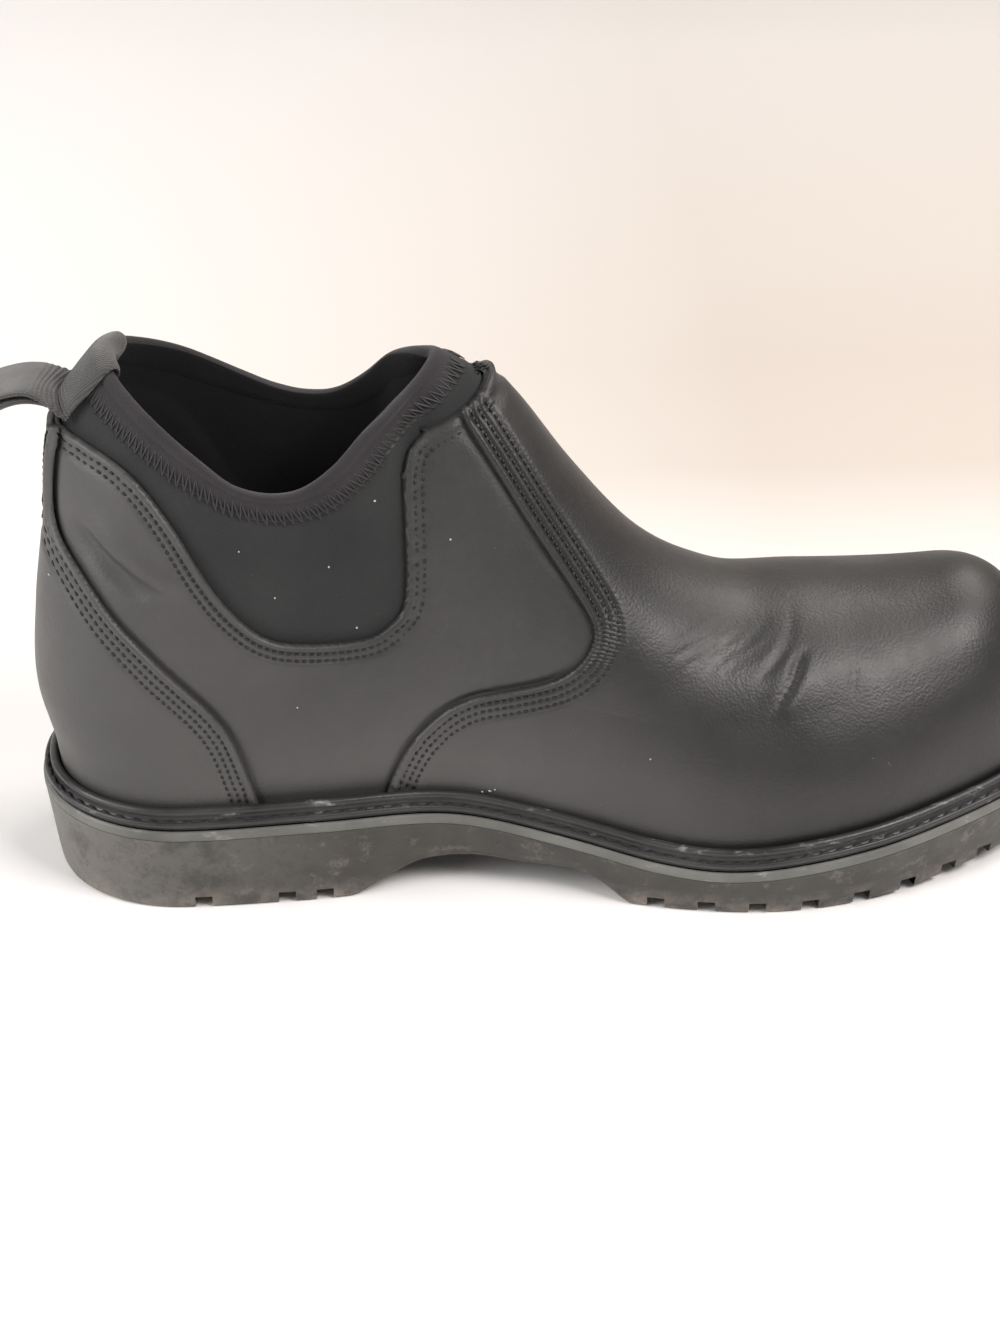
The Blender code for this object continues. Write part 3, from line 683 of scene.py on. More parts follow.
def loft(rings, closed):
    """Points and faces between rings of equally many points."""
    count = len(rings[0])
    faces = []
    for level in range(len(rings) if closed else len(rings) - 1):
        low, high = level * count, (level + 1) % len(rings) * count
        faces += [(low + i, low + (i + 1) % count, high + (i + 1) % count, high + i) for i in range(count)]
    if not closed:
        for base, flip in ((0, True), ((len(rings) - 1) * count, False)):
            for i in range(1, count // 2 + 1):
                corners = (base + i, base + i - 1, base + (count + 1 - i) % count, base + count - i)
                corners = tuple(dict.fromkeys(corners))
                if len(corners) > 2:
                    faces.append(corners[::-1] if flip else corners)
    return np.concatenate(rings), faces


# Node tools for materials
def new_look(name):
    made = bpy.data.materials.new(name)
    made.use_nodes = True
    return made, made.node_tree, made.node_tree.nodes["Principled BSDF"]


def link(tree, source, target):
    tree.links.new(source, target)


def place_of(tree, stretch=(1, 1, 1)):
    coords = tree.nodes.new("ShaderNodeTexCoord")
    mapping = tree.nodes.new("ShaderNodeMapping")
    mapping.inputs["Scale"].default_value = stretch
    link(tree, coords.outputs["Object"], mapping.inputs["Vector"])
    return mapping.outputs["Vector"]


def noise(tree, scale, detail=3.0, rough=0.5, place=None):
    made = tree.nodes.new("ShaderNodeTexNoise")
    made.inputs["Scale"].default_value = scale
    made.inputs["Detail"].default_value = detail
    made.inputs["Roughness"].default_value = rough
    link(tree, place or place_of(tree), made.inputs["Vector"])
    return made.outputs["Fac"]


def cells(tree, scale):
    made = tree.nodes.new("ShaderNodeTexVoronoi")
    made.inputs["Scale"].default_value = scale
    link(tree, place_of(tree), made.inputs["Vector"])
    return made.outputs["Distance"]


def spread_values(tree, source, low, high, to_low=0.0, to_high=1.0):
    made = tree.nodes.new("ShaderNodeMapRange")
    made.clamp = True
    for key, value in (("From Min", low), ("From Max", high), ("To Min", to_low), ("To Max", to_high)):
        made.inputs[key].default_value = value
    link(tree, source, made.inputs["Value"])
    return made.outputs["Result"]


def maths(tree, kind, first, second):
    made = tree.nodes.new("ShaderNodeMath")
    made.operation = kind
    for socket, value in zip(made.inputs, (first, second)):
        if isinstance(value, (int, float)):
            socket.default_value = value
        else:
            link(tree, value, socket)
    return made.outputs[0]


def mixed(tree, share, first, second):
    """Colour between two, by a share."""
    made = tree.nodes.new("ShaderNodeMix")
    made.data_type = "RGBA"
    link(tree, share, made.inputs["Factor"])
    for key, value in (("A", first), ("B", second)):
        socket = [s for s in made.inputs if s.name == key and s.type == "RGBA"][0]
        if isinstance(value, tuple):
            socket.default_value = (*value, 1.0)
        else:
            link(tree, value, socket)
    return [s for s in made.outputs if s.type == "RGBA"][0]


def bumped(tree, height, strength, distance, before=None):
    made = tree.nodes.new("ShaderNodeBump")
    made.inputs["Strength"].default_value = strength
    made.inputs["Distance"].default_value = distance
    link(tree, height, made.inputs["Height"])
    if before is not None:
        link(tree, before, made.inputs["Normal"])
    return made.outputs["Normal"]


def axes_of(tree):
    """Height of the place, then how far it is ahead and to the back."""
    coords = tree.nodes.new("ShaderNodeTexCoord")
    split = tree.nodes.new("ShaderNodeSeparateXYZ")
    link(tree, coords.outputs["Object"], split.inputs["Vector"])
    return split.outputs["Z"], split.outputs["X"], split.outputs["Y"]


def leather_look(name, dark, light, rough):
    """Waxed matte leather: fine pebbled grain, cloudy colour, faint dust, and painted light making it paler
    low at the back and at the heel.
    """
    made, tree, shader = new_look(name)
    cloud = spread_values(tree, noise(tree, 22, 4, 0.6), 0.35, 0.68)
    fine = spread_values(tree, noise(tree, 420, 3, 0.6), 0.30, 0.72)
    tone = mixed(tree, cloud, dark, light)
    tone = mixed(tree, spread_values(tree, fine, 0.0, 1.0, 0.0, 0.30), tone, tuple(c * 0.55 for c in dark))
    specks = spread_values(tree, cells(tree, 260), 0.055, 0.02, 0.0, 0.7)
    sparse = spread_values(tree, noise(tree, 60, 2), 0.50, 0.60)
    tone = mixed(tree, maths(tree, "MULTIPLY", specks, sparse), tone, (0.22, 0.21, 0.20))
    # Painted light: the leather is paler low at the back and at the heel, where it faces the window light.
    height, ahead, _ = axes_of(tree)
    low = spread_values(tree, height, 0.080, 0.042)
    rear = spread_values(tree, ahead, 0.175, 0.090)
    heel = spread_values(tree, ahead, 0.060, 0.000)
    painted_heel_light = maths(tree, "MAXIMUM", maths(tree, "MULTIPLY", low, rear), heel)
    patches = spread_values(tree, noise(tree, 14, 4, 0.6), 0.25, 0.75, 0.45, 0.90)
    tone = mixed(tree, maths(tree, "MULTIPLY", painted_heel_light, patches), tone, (0.072, 0.070, 0.069))
    link(tree, tone, shader.inputs["Base Color"])
    gloss = spread_values(tree, noise(tree, 60, 4, 0.65), 0.3, 0.7, rough - 0.05, rough + 0.07)
    link(tree, gloss, shader.inputs["Roughness"])
    shader.inputs["Specular IOR Level"].default_value = 0.43
    shader.inputs["Coat Weight"].default_value = 0.12
    shader.inputs["Coat Roughness"].default_value = 0.48
    pebbles = spread_values(tree, cells(tree, 1150), 0.0, 0.75)
    wrinkles = noise(tree, 520, 5, 0.6)
    normal = bumped(tree, pebbles, 0.30, 0.00018)
    normal = bumped(tree, wrinkles, 0.16, 0.0004, normal)
    link(tree, normal, shader.inputs["Normal"])
    return made


def knit_look(name, dark, light):
    """Stretch knit over foam: fine mesh, soft nap and a few bits of lint."""
    made, tree, shader = new_look(name)
    tone = mixed(tree, spread_values(tree, noise(tree, 35, 3), 0.35, 0.65), dark, light)
    lint = spread_values(tree, cells(tree, 320), 0.05, 0.02, 0.0, 0.6)
    sparse = spread_values(tree, noise(tree, 90, 2), 0.55, 0.60)
    tone = mixed(tree, maths(tree, "MULTIPLY", lint, sparse), tone, tuple(8 * c for c in light))
    link(tree, tone, shader.inputs["Base Color"])
    shader.inputs["Roughness"].default_value = 0.92
    shader.inputs["Specular IOR Level"].default_value = 0.25
    shader.inputs["Sheen Weight"].default_value = 4 * light[0]
    shader.inputs["Sheen Roughness"].default_value = 0.6
    loops = cells(tree, 1500)
    normal = bumped(tree, loops, 0.35, 0.0003)
    normal = bumped(tree, noise(tree, 240, 3), 0.3, 0.0006, normal)
    link(tree, normal, shader.inputs["Normal"])
    return made


def thread_look(name, tone):
    made, tree, shader = new_look(name)
    strands = spread_values(tree, noise(tree, 900, 2), 0.3, 0.7)
    colour = mixed(tree, strands, tuple(c * 0.6 for c in tone), tone)
    link(tree, colour, shader.inputs["Base Color"])
    shader.inputs["Roughness"].default_value = 0.55
    link(tree, bumped(tree, noise(tree, 3000, 2), 0.4, 0.0002), shader.inputs["Normal"])
    return made


def webbing_look():
    """Ribbed weave across the webbing, with a diagonal yarn in each rib."""
    made, tree, shader = new_look("pull_webbing")
    ribs = tree.nodes.new("ShaderNodeTexWave")
    ribs.bands_direction = "Y"
    ribs.inputs["Scale"].default_value = 480
    ribs.inputs["Distortion"].default_value = 0.6
    link(tree, place_of(tree), ribs.inputs["Vector"])
    yarn = tree.nodes.new("ShaderNodeTexWave")
    yarn.bands_direction = "DIAGONAL"
    yarn.inputs["Scale"].default_value = 560
    link(tree, place_of(tree), yarn.inputs["Vector"])
    tone = mixed(tree, ribs.outputs["Fac"], (0.028, 0.027, 0.028), (0.056, 0.055, 0.055))
    worn = spread_values(tree, noise(tree, 120, 3), 0.4, 0.7, 0.0, 0.4)
    tone = mixed(tree, worn, tone, (0.13, 0.125, 0.12))
    link(tree, tone, shader.inputs["Base Color"])
    shader.inputs["Roughness"].default_value = 0.78
    shader.inputs["Sheen Weight"].default_value = 0.25
    normal = bumped(tree, ribs.outputs["Fac"], 0.5, 0.0004)
    normal = bumped(tree, yarn.outputs["Fac"], 0.35, 0.0003, normal)
    link(tree, normal, shader.inputs["Normal"])
    return made


def sole_look():
    """Grey-brown gum rubber, paler and scuffed towards the tread, and painted paler at the heel as painted
    light.
    """
    made, tree, shader = new_look("outsole_gum")
    height, ahead, _ = axes_of(tree)
    low = spread_values(tree, height, 0.008, 0.0005)
    rubbed = spread_values(tree, noise(tree, 90, 5, 0.7), 0.42, 0.66)
    cloud = spread_values(tree, noise(tree, 40, 5, 0.6), 0.35, 0.68)
    tone = mixed(tree, cloud, (0.026, 0.025, 0.021), (0.048, 0.044, 0.036))
    # Painted light: the heel is paler where it faces the window light.
    heel = spread_values(tree, ahead, 0.045, -0.030, 0.0, 0.75)
    tone = mixed(tree, heel, tone, (0.150, 0.142, 0.128))
    blotches = spread_values(tree, noise(tree, 75, 6, 0.75), 0.47, 0.62, 0.0, 0.75)
    tone = mixed(tree, blotches, tone, (0.028, 0.027, 0.024))
    smudges = spread_values(tree, noise(tree, 120, 6, 0.75), 0.56, 0.66, 0.0, 0.5)
    tone = mixed(tree, smudges, tone, (0.17, 0.15, 0.125))
    tone = mixed(tree, maths(tree, "MULTIPLY", low, rubbed), tone, (0.23, 0.20, 0.17))
    dirt = spread_values(tree, noise(tree, 420, 4, 0.7), 0.58, 0.70, 0.0, 0.5)
    tone = mixed(tree, dirt, tone, (0.020, 0.019, 0.017))
    link(tree, tone, shader.inputs["Base Color"])
    link(tree, spread_values(tree, noise(tree, 90, 4), 0.3, 0.7, 0.42, 0.62), shader.inputs["Roughness"])
    shader.inputs["Coat Weight"].default_value = 0.12
    shader.inputs["Coat Roughness"].default_value = 0.35
    normal = bumped(tree, noise(tree, 380, 5, 0.6), 0.30, 0.0006)
    normal = bumped(tree, noise(tree, 110, 3, 0.6), 0.25, 0.0015, normal)
    link(tree, normal, shader.inputs["Normal"])
    return made


def rubber_look(name, dark, light, scuff, rough):
    """Moulded rubber of the rim and the welt, with pale scuffs."""
    made, tree, shader = new_look(name)
    tone = mixed(tree, spread_values(tree, noise(tree, 45, 4), 0.35, 0.7), dark, light)
    stretched = place_of(tree, (0.35, 1, 1))
    rubbed = spread_values(tree, noise(tree, 260, 5, 0.7, stretched), 0.60, 0.70, 0.0, scuff)
    tone = mixed(tree, rubbed, tone, (0.42, 0.42, 0.40))
    link(tree, tone, shader.inputs["Base Color"])
    gloss = spread_values(tree, noise(tree, 120, 4), 0.3, 0.7, rough - 0.08, rough + 0.12)
    link(tree, gloss, shader.inputs["Roughness"])
    link(tree, bumped(tree, noise(tree, 700, 4), 0.25, 0.0003), shader.inputs["Normal"])
    return made


def wall_look():
    """Warm white floor and backdrop, with painted shade making it a little darker and pinker behind the toe.
    """
    made, tree, shader = new_look("studio_white")
    _, ahead, behind = axes_of(tree)
    # Painted shade behind and to the right of the toe, standing in for the lamps' light falling off there.
    past_boot = spread_values(tree, behind, 0.03, 0.25)
    right = maths(tree, "MULTIPLY", past_boot, spread_values(tree, ahead, -0.25, 0.20))
    right = maths(tree, "MULTIPLY", right, spread_values(tree, behind, 0.35, 0.80, 1.0, 0.55))
    tone = mixed(tree, right, (0.93, 0.92, 0.915), (0.575, 0.520, 0.470))
    link(tree, tone, shader.inputs["Base Color"])
    shader.inputs["Roughness"].default_value = 0.9
    shader.inputs["Specular IOR Level"].default_value = 0.1
    return made


def below_top(angle, row):
    """Distance below the leather's top edge."""
    return signed_distance(leather_line, *side_view(angle, row))


def add_quarter(look):
    seen = spread(0.0, 1.70, 176, 0.4)
    hidden = spread(1.70, math.pi, 34, 0.4)[1:]
    half = np.concatenate([seen, hidden])
    angles = np.concatenate([half, -half[-2:0:-1]])
    rows = np.linspace(0, 1, 112)
    return panel("quarter_leather", angles, rows, True, below_top, quarter_offset, LEATHER, look,
                 "upper")


def add_vamp(look):
    """Front leather, with its finest mesh where the creases are."""
    seen = [spread(1.08, 2.10, 84, 0.35)[:-1], spread(2.10, 2.55, 120, 0.35)[:-1]]
    seen = np.concatenate([*seen, spread(2.55, math.pi, 70, 0.35)])
    hidden = spread(1.08, math.pi, 170, 0.35)
    angles = np.concatenate([seen, 2 * math.pi - hidden[-2::-1]])

    def keep(a, r):
        return np.minimum(below_top(a, r), -signed_distance(vamp_line, *side_view(a, r)))

    rows = np.linspace(0, 1, 126)
    return panel("vamp_leather", angles, rows, False, keep, vamp_offset, OVERLAY, look,
                 "vamp")


def add_counter(look):
    half = spread(0.0, 1.15, 110, 0.35)
    angles = np.concatenate([-half[:0:-1], half])

    def keep(a, r):
        return np.minimum(below_top(a, r), signed_distance(counter_line, *side_view(a, r)))

    rows = np.linspace(0, 1, 130)
    return panel("heel_counter_leather", angles, rows, False, keep, counter_offset, OVERLAY, look,
                 "heel_counter")


def add_gore_collar(look, lining):
    angles = np.linspace(-math.pi, math.pi, 360, endpoint=False)
    rows = np.linspace(0.12, 1, 100)

    def keep(a, r):
        return GORE_LAP - below_top(a, r)

    made = panel("gore_collar_knit", angles, rows, True, keep, gore_offset, STRETCH, look,
                 "gore_collar")
    # The inner face takes the lining: the same knit painted darker, as painted shade inside the boot.
    made.data.materials.append(lining)
    made.modifiers["thickness"].material_offset = 1
    return made


def below_edge(angle, drop, offset):
    """Point at a drop below the collar's edge along the wall; a negative drop stands above it."""
    row = collar_rows(angle, np.maximum(drop, 0))
    point = last_point(angle, row) + last_normal(angle, row) * np.asarray(offset)[..., None]
    up = unit(last_point(angle, 1.0) - last_point(angle, 0.998))
    return point + up * np.maximum(-drop, 0)[..., None]


def collar_rows(angle, drop):
    rows = np.linspace(1.0, 0.55, 60)
    column = last_point(np.ravel(angle)[:, None], rows[None, :])
    run = np.cumsum(np.linalg.norm(np.diff(column, axis=1), axis=2), axis=1)
    run = np.concatenate([np.zeros((len(run), 1)), run], axis=1)
    drops = np.broadcast_to(drop, np.shape(angle)).ravel()
    found = [np.interp(one, line, rows) for one, line in zip(drops, run)]
    return np.array(found).reshape(np.shape(angle))


def edge_lines(angles, places):
    """Lines of points along the collar's edge, one for each drop and offset."""
    full = np.ones(np.shape(angles))
    return [below_edge(angles, drop * full, offset * full) for drop, offset in places]


def add_collar_fold(look, lining):
    """Turned edge of the collar: a soft band over the knit's edge, flush with it below."""
    outside = -LEATHER + FOLD
    inside = -(LEATHER + CLEARANCE + STRETCH) + KNIT_RAISE - 0.0001
    middle, reach = (outside + inside) / 2 + 0.0002, (outside - inside) / 2
    profile = [(FOLD_WIDTH + 0.0016, outside - 0.0009), (FOLD_WIDTH - 0.0002, outside - 0.0005)]
    profile += [(0.0075, outside - 0.0002), (0.0065, outside - 0.0001), (0.0052, outside)]
    profile += [(0.0042, outside - 0.0001), (0.0036, outside - 0.0003), (0.0028, outside + 0.0001)]
    for turn in np.linspace(0.0, math.pi, 11):
        profile.append((0.0014 - 0.0020 * math.sin(turn), middle + (reach + 0.0002) * math.cos(turn)))
    profile += [(drop, inside) for drop in (0.0030, 0.0055, 0.0080)]
    profile += [(FOLD_WIDTH, inside + 0.0004), (FOLD_WIDTH, middle)]
    angles = np.linspace(-math.pi, math.pi, 330, endpoint=False)
    points, faces = loft(edge_lines(angles, profile), closed=True)
    made = add_piece("collar_fold_knit", points, faces, look, "collar_fold")
    made.data.materials.append(lining)
    # The fold's inner faces take the lining, painted darker as painted shade inside the collar.
    for number in range(LINED_FROM * len(angles), (len(profile) - 1) * len(angles)):
        made.data.polygons[number].material_index = 1
    return made


def add_zigzag(look):
    """Flat zigzag seam under the collar's fold."""
    fine = np.linspace(-math.pi + 0.05, math.pi - 0.05, 900)
    line = edge_lines(fine, [(ZIGZAG_MIDDLE, 0.0)])[0]
    run = run_of(line)
    at = np.arange(0, run[-1], ZIGZAG_STEP)
    angles = np.interp(at, run, fine)
    drop = np.where(np.arange(len(angles)) % 2 == 0, *ZIGZAG_DROPS)
    drop = drop + np.array([rng.uniform(-ZIGZAG_STRAY, ZIGZAG_STRAY) for _ in angles])
    rows = collar_rows(angles, drop)
    lift = np.where(drop < FOLD_WIDTH, -LEATHER + FOLD, gore_offset(angles, rows) + 0.0003)
    ups = last_normal(angles, rows)
    points = last_point(angles, rows) + ups * lift[:, None]
    return grains("collar_zigzag", points[:-1], points[1:], ups[:-1], *ZIGZAG_SIZE, look)


def back_point(share, offset):
    height = share * CUFF_HEIGHT
    step = 1e-4
    lean = (back_lean(height) - back_lean(height - step)) / step
    away = np.array([-1.0, lean]) / math.hypot(1.0, lean)
    return np.array([HEEL_LEDGE + back_lean(height), seat(HEEL_LEDGE) + height]) + offset * away


LOOP_PATH = (
    (0.03, 0.05), (0.10, 0.20), (0.18, 0.30), (0.28, 0.25), (0.40, 0.08), (0.60, -0.12), (0.80, -0.30),
    (0.93, -0.52), (0.98, -0.84), (0.93, -1.12), (0.80, -1.15), (0.60, -0.78), (0.42, -0.34), (0.28, -0.02),
    (0.18, 0.05), (0.10, -0.02), (0.05, -0.12),
)


def loop_line():
    """Side view path of the free loop's middle, from its sewn end round to the end that lies beside it."""
    sewn = back_point(LOOP_SEWN, -LEATHER + FOLD + CLEARANCE + WEBBING / 2)
    steps = [np.array([-behind * LOOP_LENGTH, rise * LOOP_RISE]) for behind, rise in LOOP_PATH]
    return smooth_line([sewn + step for step in steps], 8)


def over_edge(across):
    """Webbing from inside the collar, over its edge and down the back, following the collar's curve."""
    outside = -LEATHER + FOLD + WEBBING / 2 + 0.0002
    inside = -(LEATHER + CLEARANCE + STRETCH) + KNIT_RAISE - 0.0006 - WEBBING / 2
    middle, reach = (outside + inside) / 2, (outside - inside) / 2
    places = [(drop, inside) for drop in (0.012, 0.009, 0.006, 0.0035)]
    for turn in np.linspace(0.1, math.pi - 0.1, 9):
        places.append((0.0014 - 0.0036 * math.sin(turn), middle - reach * math.cos(turn)))
    places += [(drop, outside) for drop in (0.0035, 0.006, 0.009, 0.012, 0.0145, 0.017)]
    fine = np.linspace(-0.7, 0.7, 201)
    angles = np.interp(-across * WEBBING_WIDTH / 2, -last_point(fine, 1.0)[:, 1], fine)
    return np.array(edge_lines(angles, places))


def add_pull_loop(look):
    """Strip of webbing: wrapped over the collar's back, gathered where it is sewn, then out as a loop."""
    across = np.linspace(-1, 1, WEB_POINTS)
    wrapped = over_edge(across)
    free = loop_line()
    backs, heights = (np.repeat(free[:, k:k + 1], WEB_POINTS, 1) for k in (0, 1))
    flat = np.stack([backs, np.tile(across * WEBBING_WIDTH / 2, (len(free), 1)), heights], axis=-1)
    lead = flat[3:] + (wrapped[-1] - flat[3]) * np.exp(-np.arange(len(free) - 3) / 4.0)[:, None, None] * 0.9
    strip = np.concatenate([wrapped, lead])
    length = run_of(strip[:, WEB_POINTS // 2])
    sewn = length[len(wrapped)]
    start, end = sewn - 0.006, sewn + 0.008
    run = np.concatenate([np.linspace(0, start, 60), np.linspace(start, end, 90)[1:],
                          np.linspace(end, length[-1], 90)[1:]])
    middle = np.stack([points_at(run, length, strip[:, i]) for i in range(WEB_POINTS)], axis=1)
    for _ in range(6):
        middle[1:-1] = (middle[:-2] + 2 * middle[1:-1] + middle[2:]) / 4
    near = np.exp(-((run - sewn - 0.001) / 0.0045) ** 2)[:, None]
    middle[..., 0] += 0.0026 * across * np.exp(-((run - sewn) / 0.009) ** 2)[:, None]
    middle[..., 1] *= 1 - 0.10 * near
    out = unit(np.cross(np.gradient(middle, axis=1), np.gradient(middle, axis=0)))
    gather = 0.00030 * near * np.sin(5400 * (run[:, None] - sewn) + 0.8 * np.sin(4 * across))
    ribs = 0.00003 * np.cos(across * math.pi * WEB_RIBS)
    thick = WEBBING / 2 * np.sqrt(np.clip(1 - np.abs(across) ** 12, 0.02, 1))
    top = middle + out * (thick + ribs + gather)[..., None]
    low = middle - out * (thick - gather)[..., None]
    rings = list(np.concatenate([top, low[:, ::-1]], axis=1))
    points, faces = loft(rings, closed=False)
    return add_piece("pull_loop_webbing", points, faces, look, "pull_loop")


def stray(ranges):
    return np.array([rng.uniform(low, high) for low, high in ranges])


def add_tuft(look):
    """Frayed thread ends at the top of the instep, where the leather's edge meets the collar."""
    middle = np.array([TUFT_PLACE[0] * SOLE_LENGTH, 0.0, TUFT_PLACE[1] * BOOT_HEIGHT])
    starts, ends = [], []
    for _ in range(TUFT_THREADS):
        starts.append(middle + stray(TUFT_SPREAD))
        ends.append(starts[-1] + stray(TUFT_REACH))
    ups = np.tile([0.0, -1.0, 0.2], (len(starts), 1))
    return grains("instep_tuft", np.array(starts), np.array(ends), ups, *TUFT_SIZE, look)


def add_specks(look):
    """Small pale bits stuck to the outer side."""
    at = np.array(SPECKS)
    angle, row = on_last(at[:, 0] * SOLE_LENGTH, at[:, 1] * BOOT_HEIGHT, -1)
    up = last_normal(angle, row)
    middle = last_point(angle, row) + up * at[:, 2:3]
    along = unit(np.cross(up, np.array([0.3, 0.2, 1.0]))) * at[:, 3:4] / 2
    return grains("paint_specks", middle - along, middle + along, up, *SPECK_SIZE, look)


def add_midsole(look):
    profile = [(-0.0004, 0.0), (-0.0001, 0.0003), (0.0, 0.0009), (0.0, 0.0023)]
    profile += [(-0.0002, 0.0029), (-0.0008, MIDSOLE)]
    rings = []
    for inset, up in profile:
        ring = outline(0.0, SOLE_LEDGE + inset, SOLE_RING)
        rings.append(np.column_stack([ring, seat(ring[:, 0]) - SEAT_GAP - MIDSOLE + up]))
    points, faces = loft(rings, closed=False)
    return add_piece("midsole_rim", points, faces, look, "midsole")


def add_welt(look):
    """Storm welt: a bead against the upper, then a channel for the stitching."""
    inner = CLEARANCE + OVERLAY + WELT_GAP - 0.0004
    edge = SOLE_LEDGE - 0.0006
    bead = inner + BEAD_WIDTH
    profile = [(inner, 0.0), (edge, 0.0), (edge, WELT_FLAT - 0.0004), (edge - 0.0004, WELT_FLAT)]
    profile += [(edge - 0.0010, WELT_FLAT - 0.0001), (edge - 0.0016, WELT_FLAT - 0.0008)]
    profile += [(bead + 0.0003, WELT_FLAT - 0.0008)]
    centre, half = (inner + bead) / 2, BEAD_WIDTH / 2
    for turn in np.linspace(-0.5, math.pi + 0.2, 9):
        profile.append((centre + half * math.cos(turn), WELT_BEAD - half * (1 - math.sin(turn))))
    rings = []
    for offset, up in profile:
        ring = outline(0.0 if offset > bead else up, offset, SOLE_RING)
        rings.append(np.column_stack([ring, seat(ring[:, 0]) + up]))
    points, faces = loft(rings, closed=True)
    return add_piece("storm_welt", points, faces, look, "welt")


def add_welt_stitches(look):
    ring = outline(0.0, (SOLE_LEDGE - 0.0012 + CLEARANCE + OVERLAY + WELT_GAP + BEAD_WIDTH) / 2, SOLE_RING)
    ring = np.column_stack([ring, seat(ring[:, 0]) + WELT_FLAT - 0.0006])
    ring = np.concatenate([ring, ring[:1]])
    run = run_of(ring)
    at = np.arange(0, run[-1] - WELT_PITCH, WELT_PITCH)
    start, end = (points_at(at + more, run, ring) for more in WELT_STITCH)
    ups = np.tile([0.0, 0.0, 1.0], (len(at), 1))
    return grains("welt_stitches", start, end, ups, *WELT_STITCH_SIZE, look)


def add_outsole(look):
    top = SOLE_LEDGE - 0.0002
    low = SOLE_LEDGE - WALL_TAPER
    levels = [(low - 0.0012, 0.0, 0), (low - 0.0004, 0.0004, 0), (low, 0.0012, 0), (low + 0.0002, 0.0025, 0)]
    levels += [(low + (top - low) * share, 0.0, share) for share in (0.2, 0.4, 0.6, 0.8, 0.93, 1.0)]
    rings = []
    for offset, up, share in levels:
        ring = outline(0.0, offset, SOLE_RING)
        floor = underside(ring[:, 0])
        ceiling = seat(ring[:, 0]) - SEAT_GAP - MIDSOLE
        rings.append(np.column_stack([ring, floor + up + (ceiling - floor) * share]))
    points, faces = loft(rings, closed=False)
    made = add_piece("outsole_gum", points, faces, look, "outsole")
    boolean = made.modifiers.new("lugs", "BOOLEAN")
    boolean.operation = "DIFFERENCE"
    boolean.solver = "EXACT"
    boolean.object = lug_cutter()
    bevel = made.modifiers.new("edges", "BEVEL")
    bevel.width = LUG_EDGE
    bevel.segments = 2
    bevel.limit_method = "ANGLE"
    bevel.angle_limit = math.radians(50)
    bpy.context.view_layer.update()
    done = bpy.data.meshes.new_from_object(made.evaluated_get(bpy.context.evaluated_depsgraph_get()))
    made.modifiers.clear()
    made.data = done
    bpy.data.objects.remove(bpy.data.objects["lug_cutter"])
    return made


def lug_cutter():
    work = bmesh.new()
    ring = outline(0.0, SOLE_LEDGE - WALL_TAPER, SOLE_RING)
    half = len(ring) // 2
    grooves = []
    for points in (ring[:half + 1], np.concatenate([ring[half:], ring[:1]])[::-1]):
        for share in SIDE_SLOTS:
            x = share * SOLE_LENGTH
            y = np.interp(x, points[:, 0], points[:, 1])
            ahead = np.interp(x + SLOT_WIDTH, points[:, 0], points[:, 1])
            grooves.append((x, y, math.atan2(ahead - y, SLOT_WIDTH) * 0.6, SLOT_LENGTH))
    grooves += [(share * SOLE_LENGTH, 0.0, 0.0, BAR_LENGTH) for share in CENTRE_BARS]
    for x, y, turn, length in grooves:
        size = Matrix.Diagonal((SLOT_WIDTH, length, 2 * LUG_DEPTH, 1))
        place = Matrix.Translation((x - HEEL_REST, y, underside(x))) @ Matrix.Rotation(turn, 4, "Z")
        bmesh.ops.create_cube(work, size=1.0, matrix=place @ size)
    mesh = bpy.data.meshes.new("lug_cutter")
    work.to_mesh(mesh)
    work.free()
    made = bpy.data.objects.new("lug_cutter", mesh)
    bpy.context.scene.collection.objects.link(made)
    return made


def add_stage(look):
    """Floor that curves up into a wall behind the boot."""
    profile = [(FLOOR_FRONT, 0.0), (WALL_START, 0.0)]
    for turn in np.linspace(0.08, math.pi / 2, 18):
        profile.append((WALL_START + WALL_BEND * math.sin(turn), WALL_BEND - WALL_BEND * math.cos(turn)))
    profile += [(WALL_START + WALL_BEND, WALL_TOP)]
    points = [(x, y, z - 0.0001) for x in (-FLOOR_SIDE, FLOOR_SIDE) for y, z in profile]
    count = len(profile)
    faces = [(i, i + count, i + count + 1, i + 1) for i in range(count - 1)]
    mesh = bpy.data.meshes.new("studio_floor")
    mesh.from_pydata(points, [], faces)
    mesh.shade_smooth()
    mesh.materials.append(look)
    made = bpy.data.objects.new("studio_floor", mesh)
    bpy.context.scene.collection.objects.link(made)


def add_light(name, place, aim, size, power, tone):
    data = bpy.data.lights.new(name, "AREA")
    data.shape = "RECTANGLE"
    data.size, data.size_y = size
    data.energy = power
    data.color = tone
    made = bpy.data.objects.new(name, data)
    made.location = place
    made.rotation_euler = (Vector(aim) - Vector(place)).to_track_quat("-Z", "Y").to_euler()
    bpy.context.scene.collection.objects.link(made)


def add_camera():
    azimuth, elevation, roll = (math.radians(v) for v in (AZIMUTH, ELEVATION, ROLL))
    flat = math.cos(elevation)
    back = Vector((math.sin(azimuth) * flat, -math.cos(azimuth) * flat, math.sin(elevation)))
    right = (-back).cross(Vector((0, 0, 1))).normalized()
    up = right.cross(-back)
    level = Vector(math.cos(roll) * right + math.sin(roll) * up)
    upright = Vector(-math.sin(roll) * right + math.cos(roll) * up)
    data = bpy.data.cameras.new("camera")
    data.lens = LENS
    data.sensor_width = 36.0
    data.sensor_fit = "AUTO"
    made = bpy.data.objects.new("camera", data)
    turn = Matrix((level, upright, back)).transposed().to_4x4()
    made.matrix_world = Matrix.Translation(Vector(AIM) + back * DISTANCE) @ turn
    bpy.context.scene.collection.objects.link(made)
    bpy.context.scene.camera = made


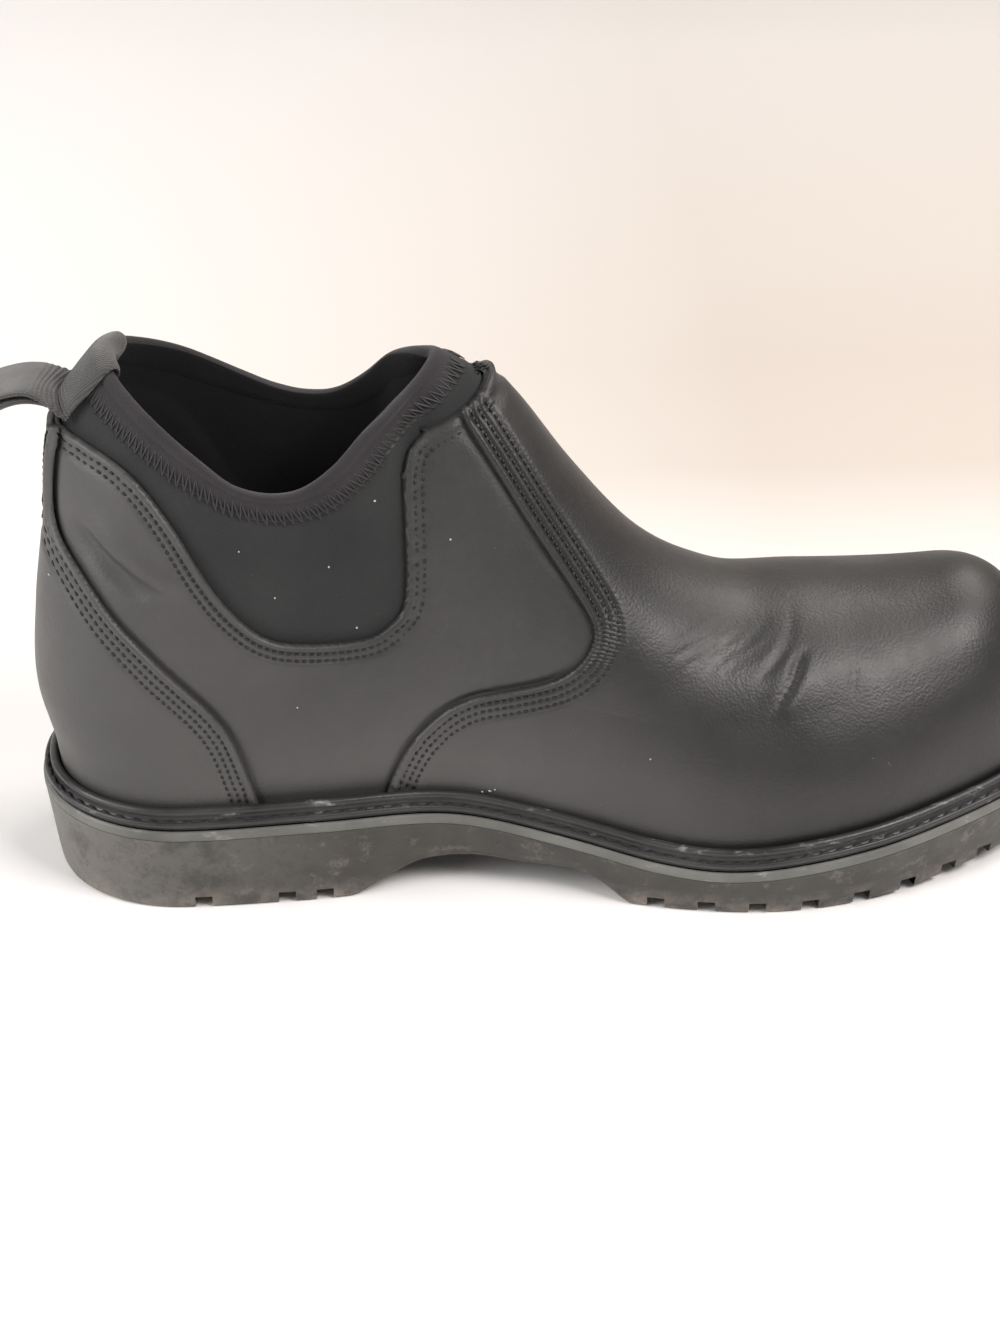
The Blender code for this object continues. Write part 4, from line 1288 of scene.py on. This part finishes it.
def add_all_stitches(look):
    def on_quarter(x, z):
        return (signed_distance(vamp_line, x, z) > 0.001) & (signed_distance(counter_line, x, z) < -0.001)

    def under_top(x, z):
        return (signed_distance(leather_line, x, z) > 0.002) & (z > seat(x) + WELT_BEAD)

    def on_vamp(x, z):
        ahead = -signed_distance(vamp_line, x, z)
        return (ahead > 0.004) & (z < seat(x) + ridge(x) - 0.0015)

    def on_counter(x, z):
        back = HEEL_LEDGE + back_lean(z - seat(HEEL_LEDGE))
        return (signed_distance(counter_line, x, z) > 0.004) & (x > back + 0.0008)

    add_stitches("quarter_stitches", [(leather_line, d, on_quarter) for d in ROWS_TWO], quarter_offset, look)
    rows = [(vamp_line, -d, under_top) for d in ROWS_THREE]
    rows += [(leather_line, d, on_vamp) for d in ROWS_TWO]
    add_stitches("vamp_stitches", rows, vamp_offset, look)
    rows = [(counter_line, d, under_top) for d in ROWS_THREE]
    rows += [(leather_line, d, on_counter) for d in ROWS_TWO]
    add_stitches("counter_stitches", rows, counter_offset, look)


leather_line = seam_line(LEATHER_EDGE)
vamp_line = seam_line(VAMP_SEAM)
counter_line = seam_line(COUNTER_SEAM)

add_camera()
add_stage(wall_look())
# The three leathers are one black leather in lit and shaded copies: the counter's colour is painted lighter
# as painted light from the left, the vamp's painted darker as painted shade.
add_quarter(leather_look("quarter_leather", (0.023, 0.023, 0.023), (0.038, 0.037, 0.036), 0.48))
add_vamp(leather_look("vamp_leather", (0.0135, 0.0130, 0.0130), (0.021, 0.0200, 0.0195), 0.43))
add_counter(leather_look("counter_leather", (0.032, 0.032, 0.031), (0.048, 0.047, 0.045), 0.50))
# Lining: the same knit painted darker, as painted shade on the boot's inside.
shaded_lining = knit_look("collar_lining", (0.0065, 0.0065, 0.0070), (0.0100, 0.0100, 0.0105))
add_gore_collar(knit_look("stretch_knit", (0.016, 0.0175, 0.018), (0.023, 0.0245, 0.025)), shaded_lining)
add_collar_fold(knit_look("collar_edge", (0.019, 0.017, 0.019), (0.027, 0.024, 0.027)), shaded_lining)
dark_thread = thread_look("black_thread", (0.005, 0.005, 0.006))
add_all_stitches(dark_thread)
add_zigzag(thread_look("grey_thread", (0.030, 0.028, 0.029)))
add_tuft(dark_thread)
add_specks(thread_look("pale_bits", (0.55, 0.54, 0.52)))
add_pull_loop(webbing_look())
add_midsole(rubber_look("midsole_rubber", (0.085, 0.087, 0.078), (0.148, 0.150, 0.136), 0.40, 0.55))
add_welt(rubber_look("welt_rubber", (0.017, 0.017, 0.017), (0.033, 0.033, 0.033), 0.45, 0.36))
add_welt_stitches(dark_thread)
add_outsole(sole_look())
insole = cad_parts["insole"].data.materials
insole.clear()
insole.append(knit_look("insole_fabric", (0.012, 0.012, 0.013), (0.020, 0.020, 0.020)))

add_light("front_right", (0.68, -0.52, 0.86), (0.20, 0.0, 0.05), (0.55, 0.45), 11.0, (1.0, 0.95, 0.93))
add_light("window", (-1.35, -0.50, 0.95), (0.05, 0.0, 0.05), (1.3, 1.3), 28.0, (1.0, 0.985, 0.975))
add_light("ceiling", (0.75, 0.45, 1.10), (0.12, 0.0, 0.08), (0.9, 0.7), 10.0, (1.0, 0.95, 0.90))
world = bpy.data.worlds.new("studio")
world.use_nodes = True
world.node_tree.nodes["Background"].inputs["Color"].default_value = (1.0, 0.975, 0.95, 1.0)
world.node_tree.nodes["Background"].inputs["Strength"].default_value = 0.24
bpy.context.scene.world = world
bpy.context.scene.view_settings.view_transform = "Standard"
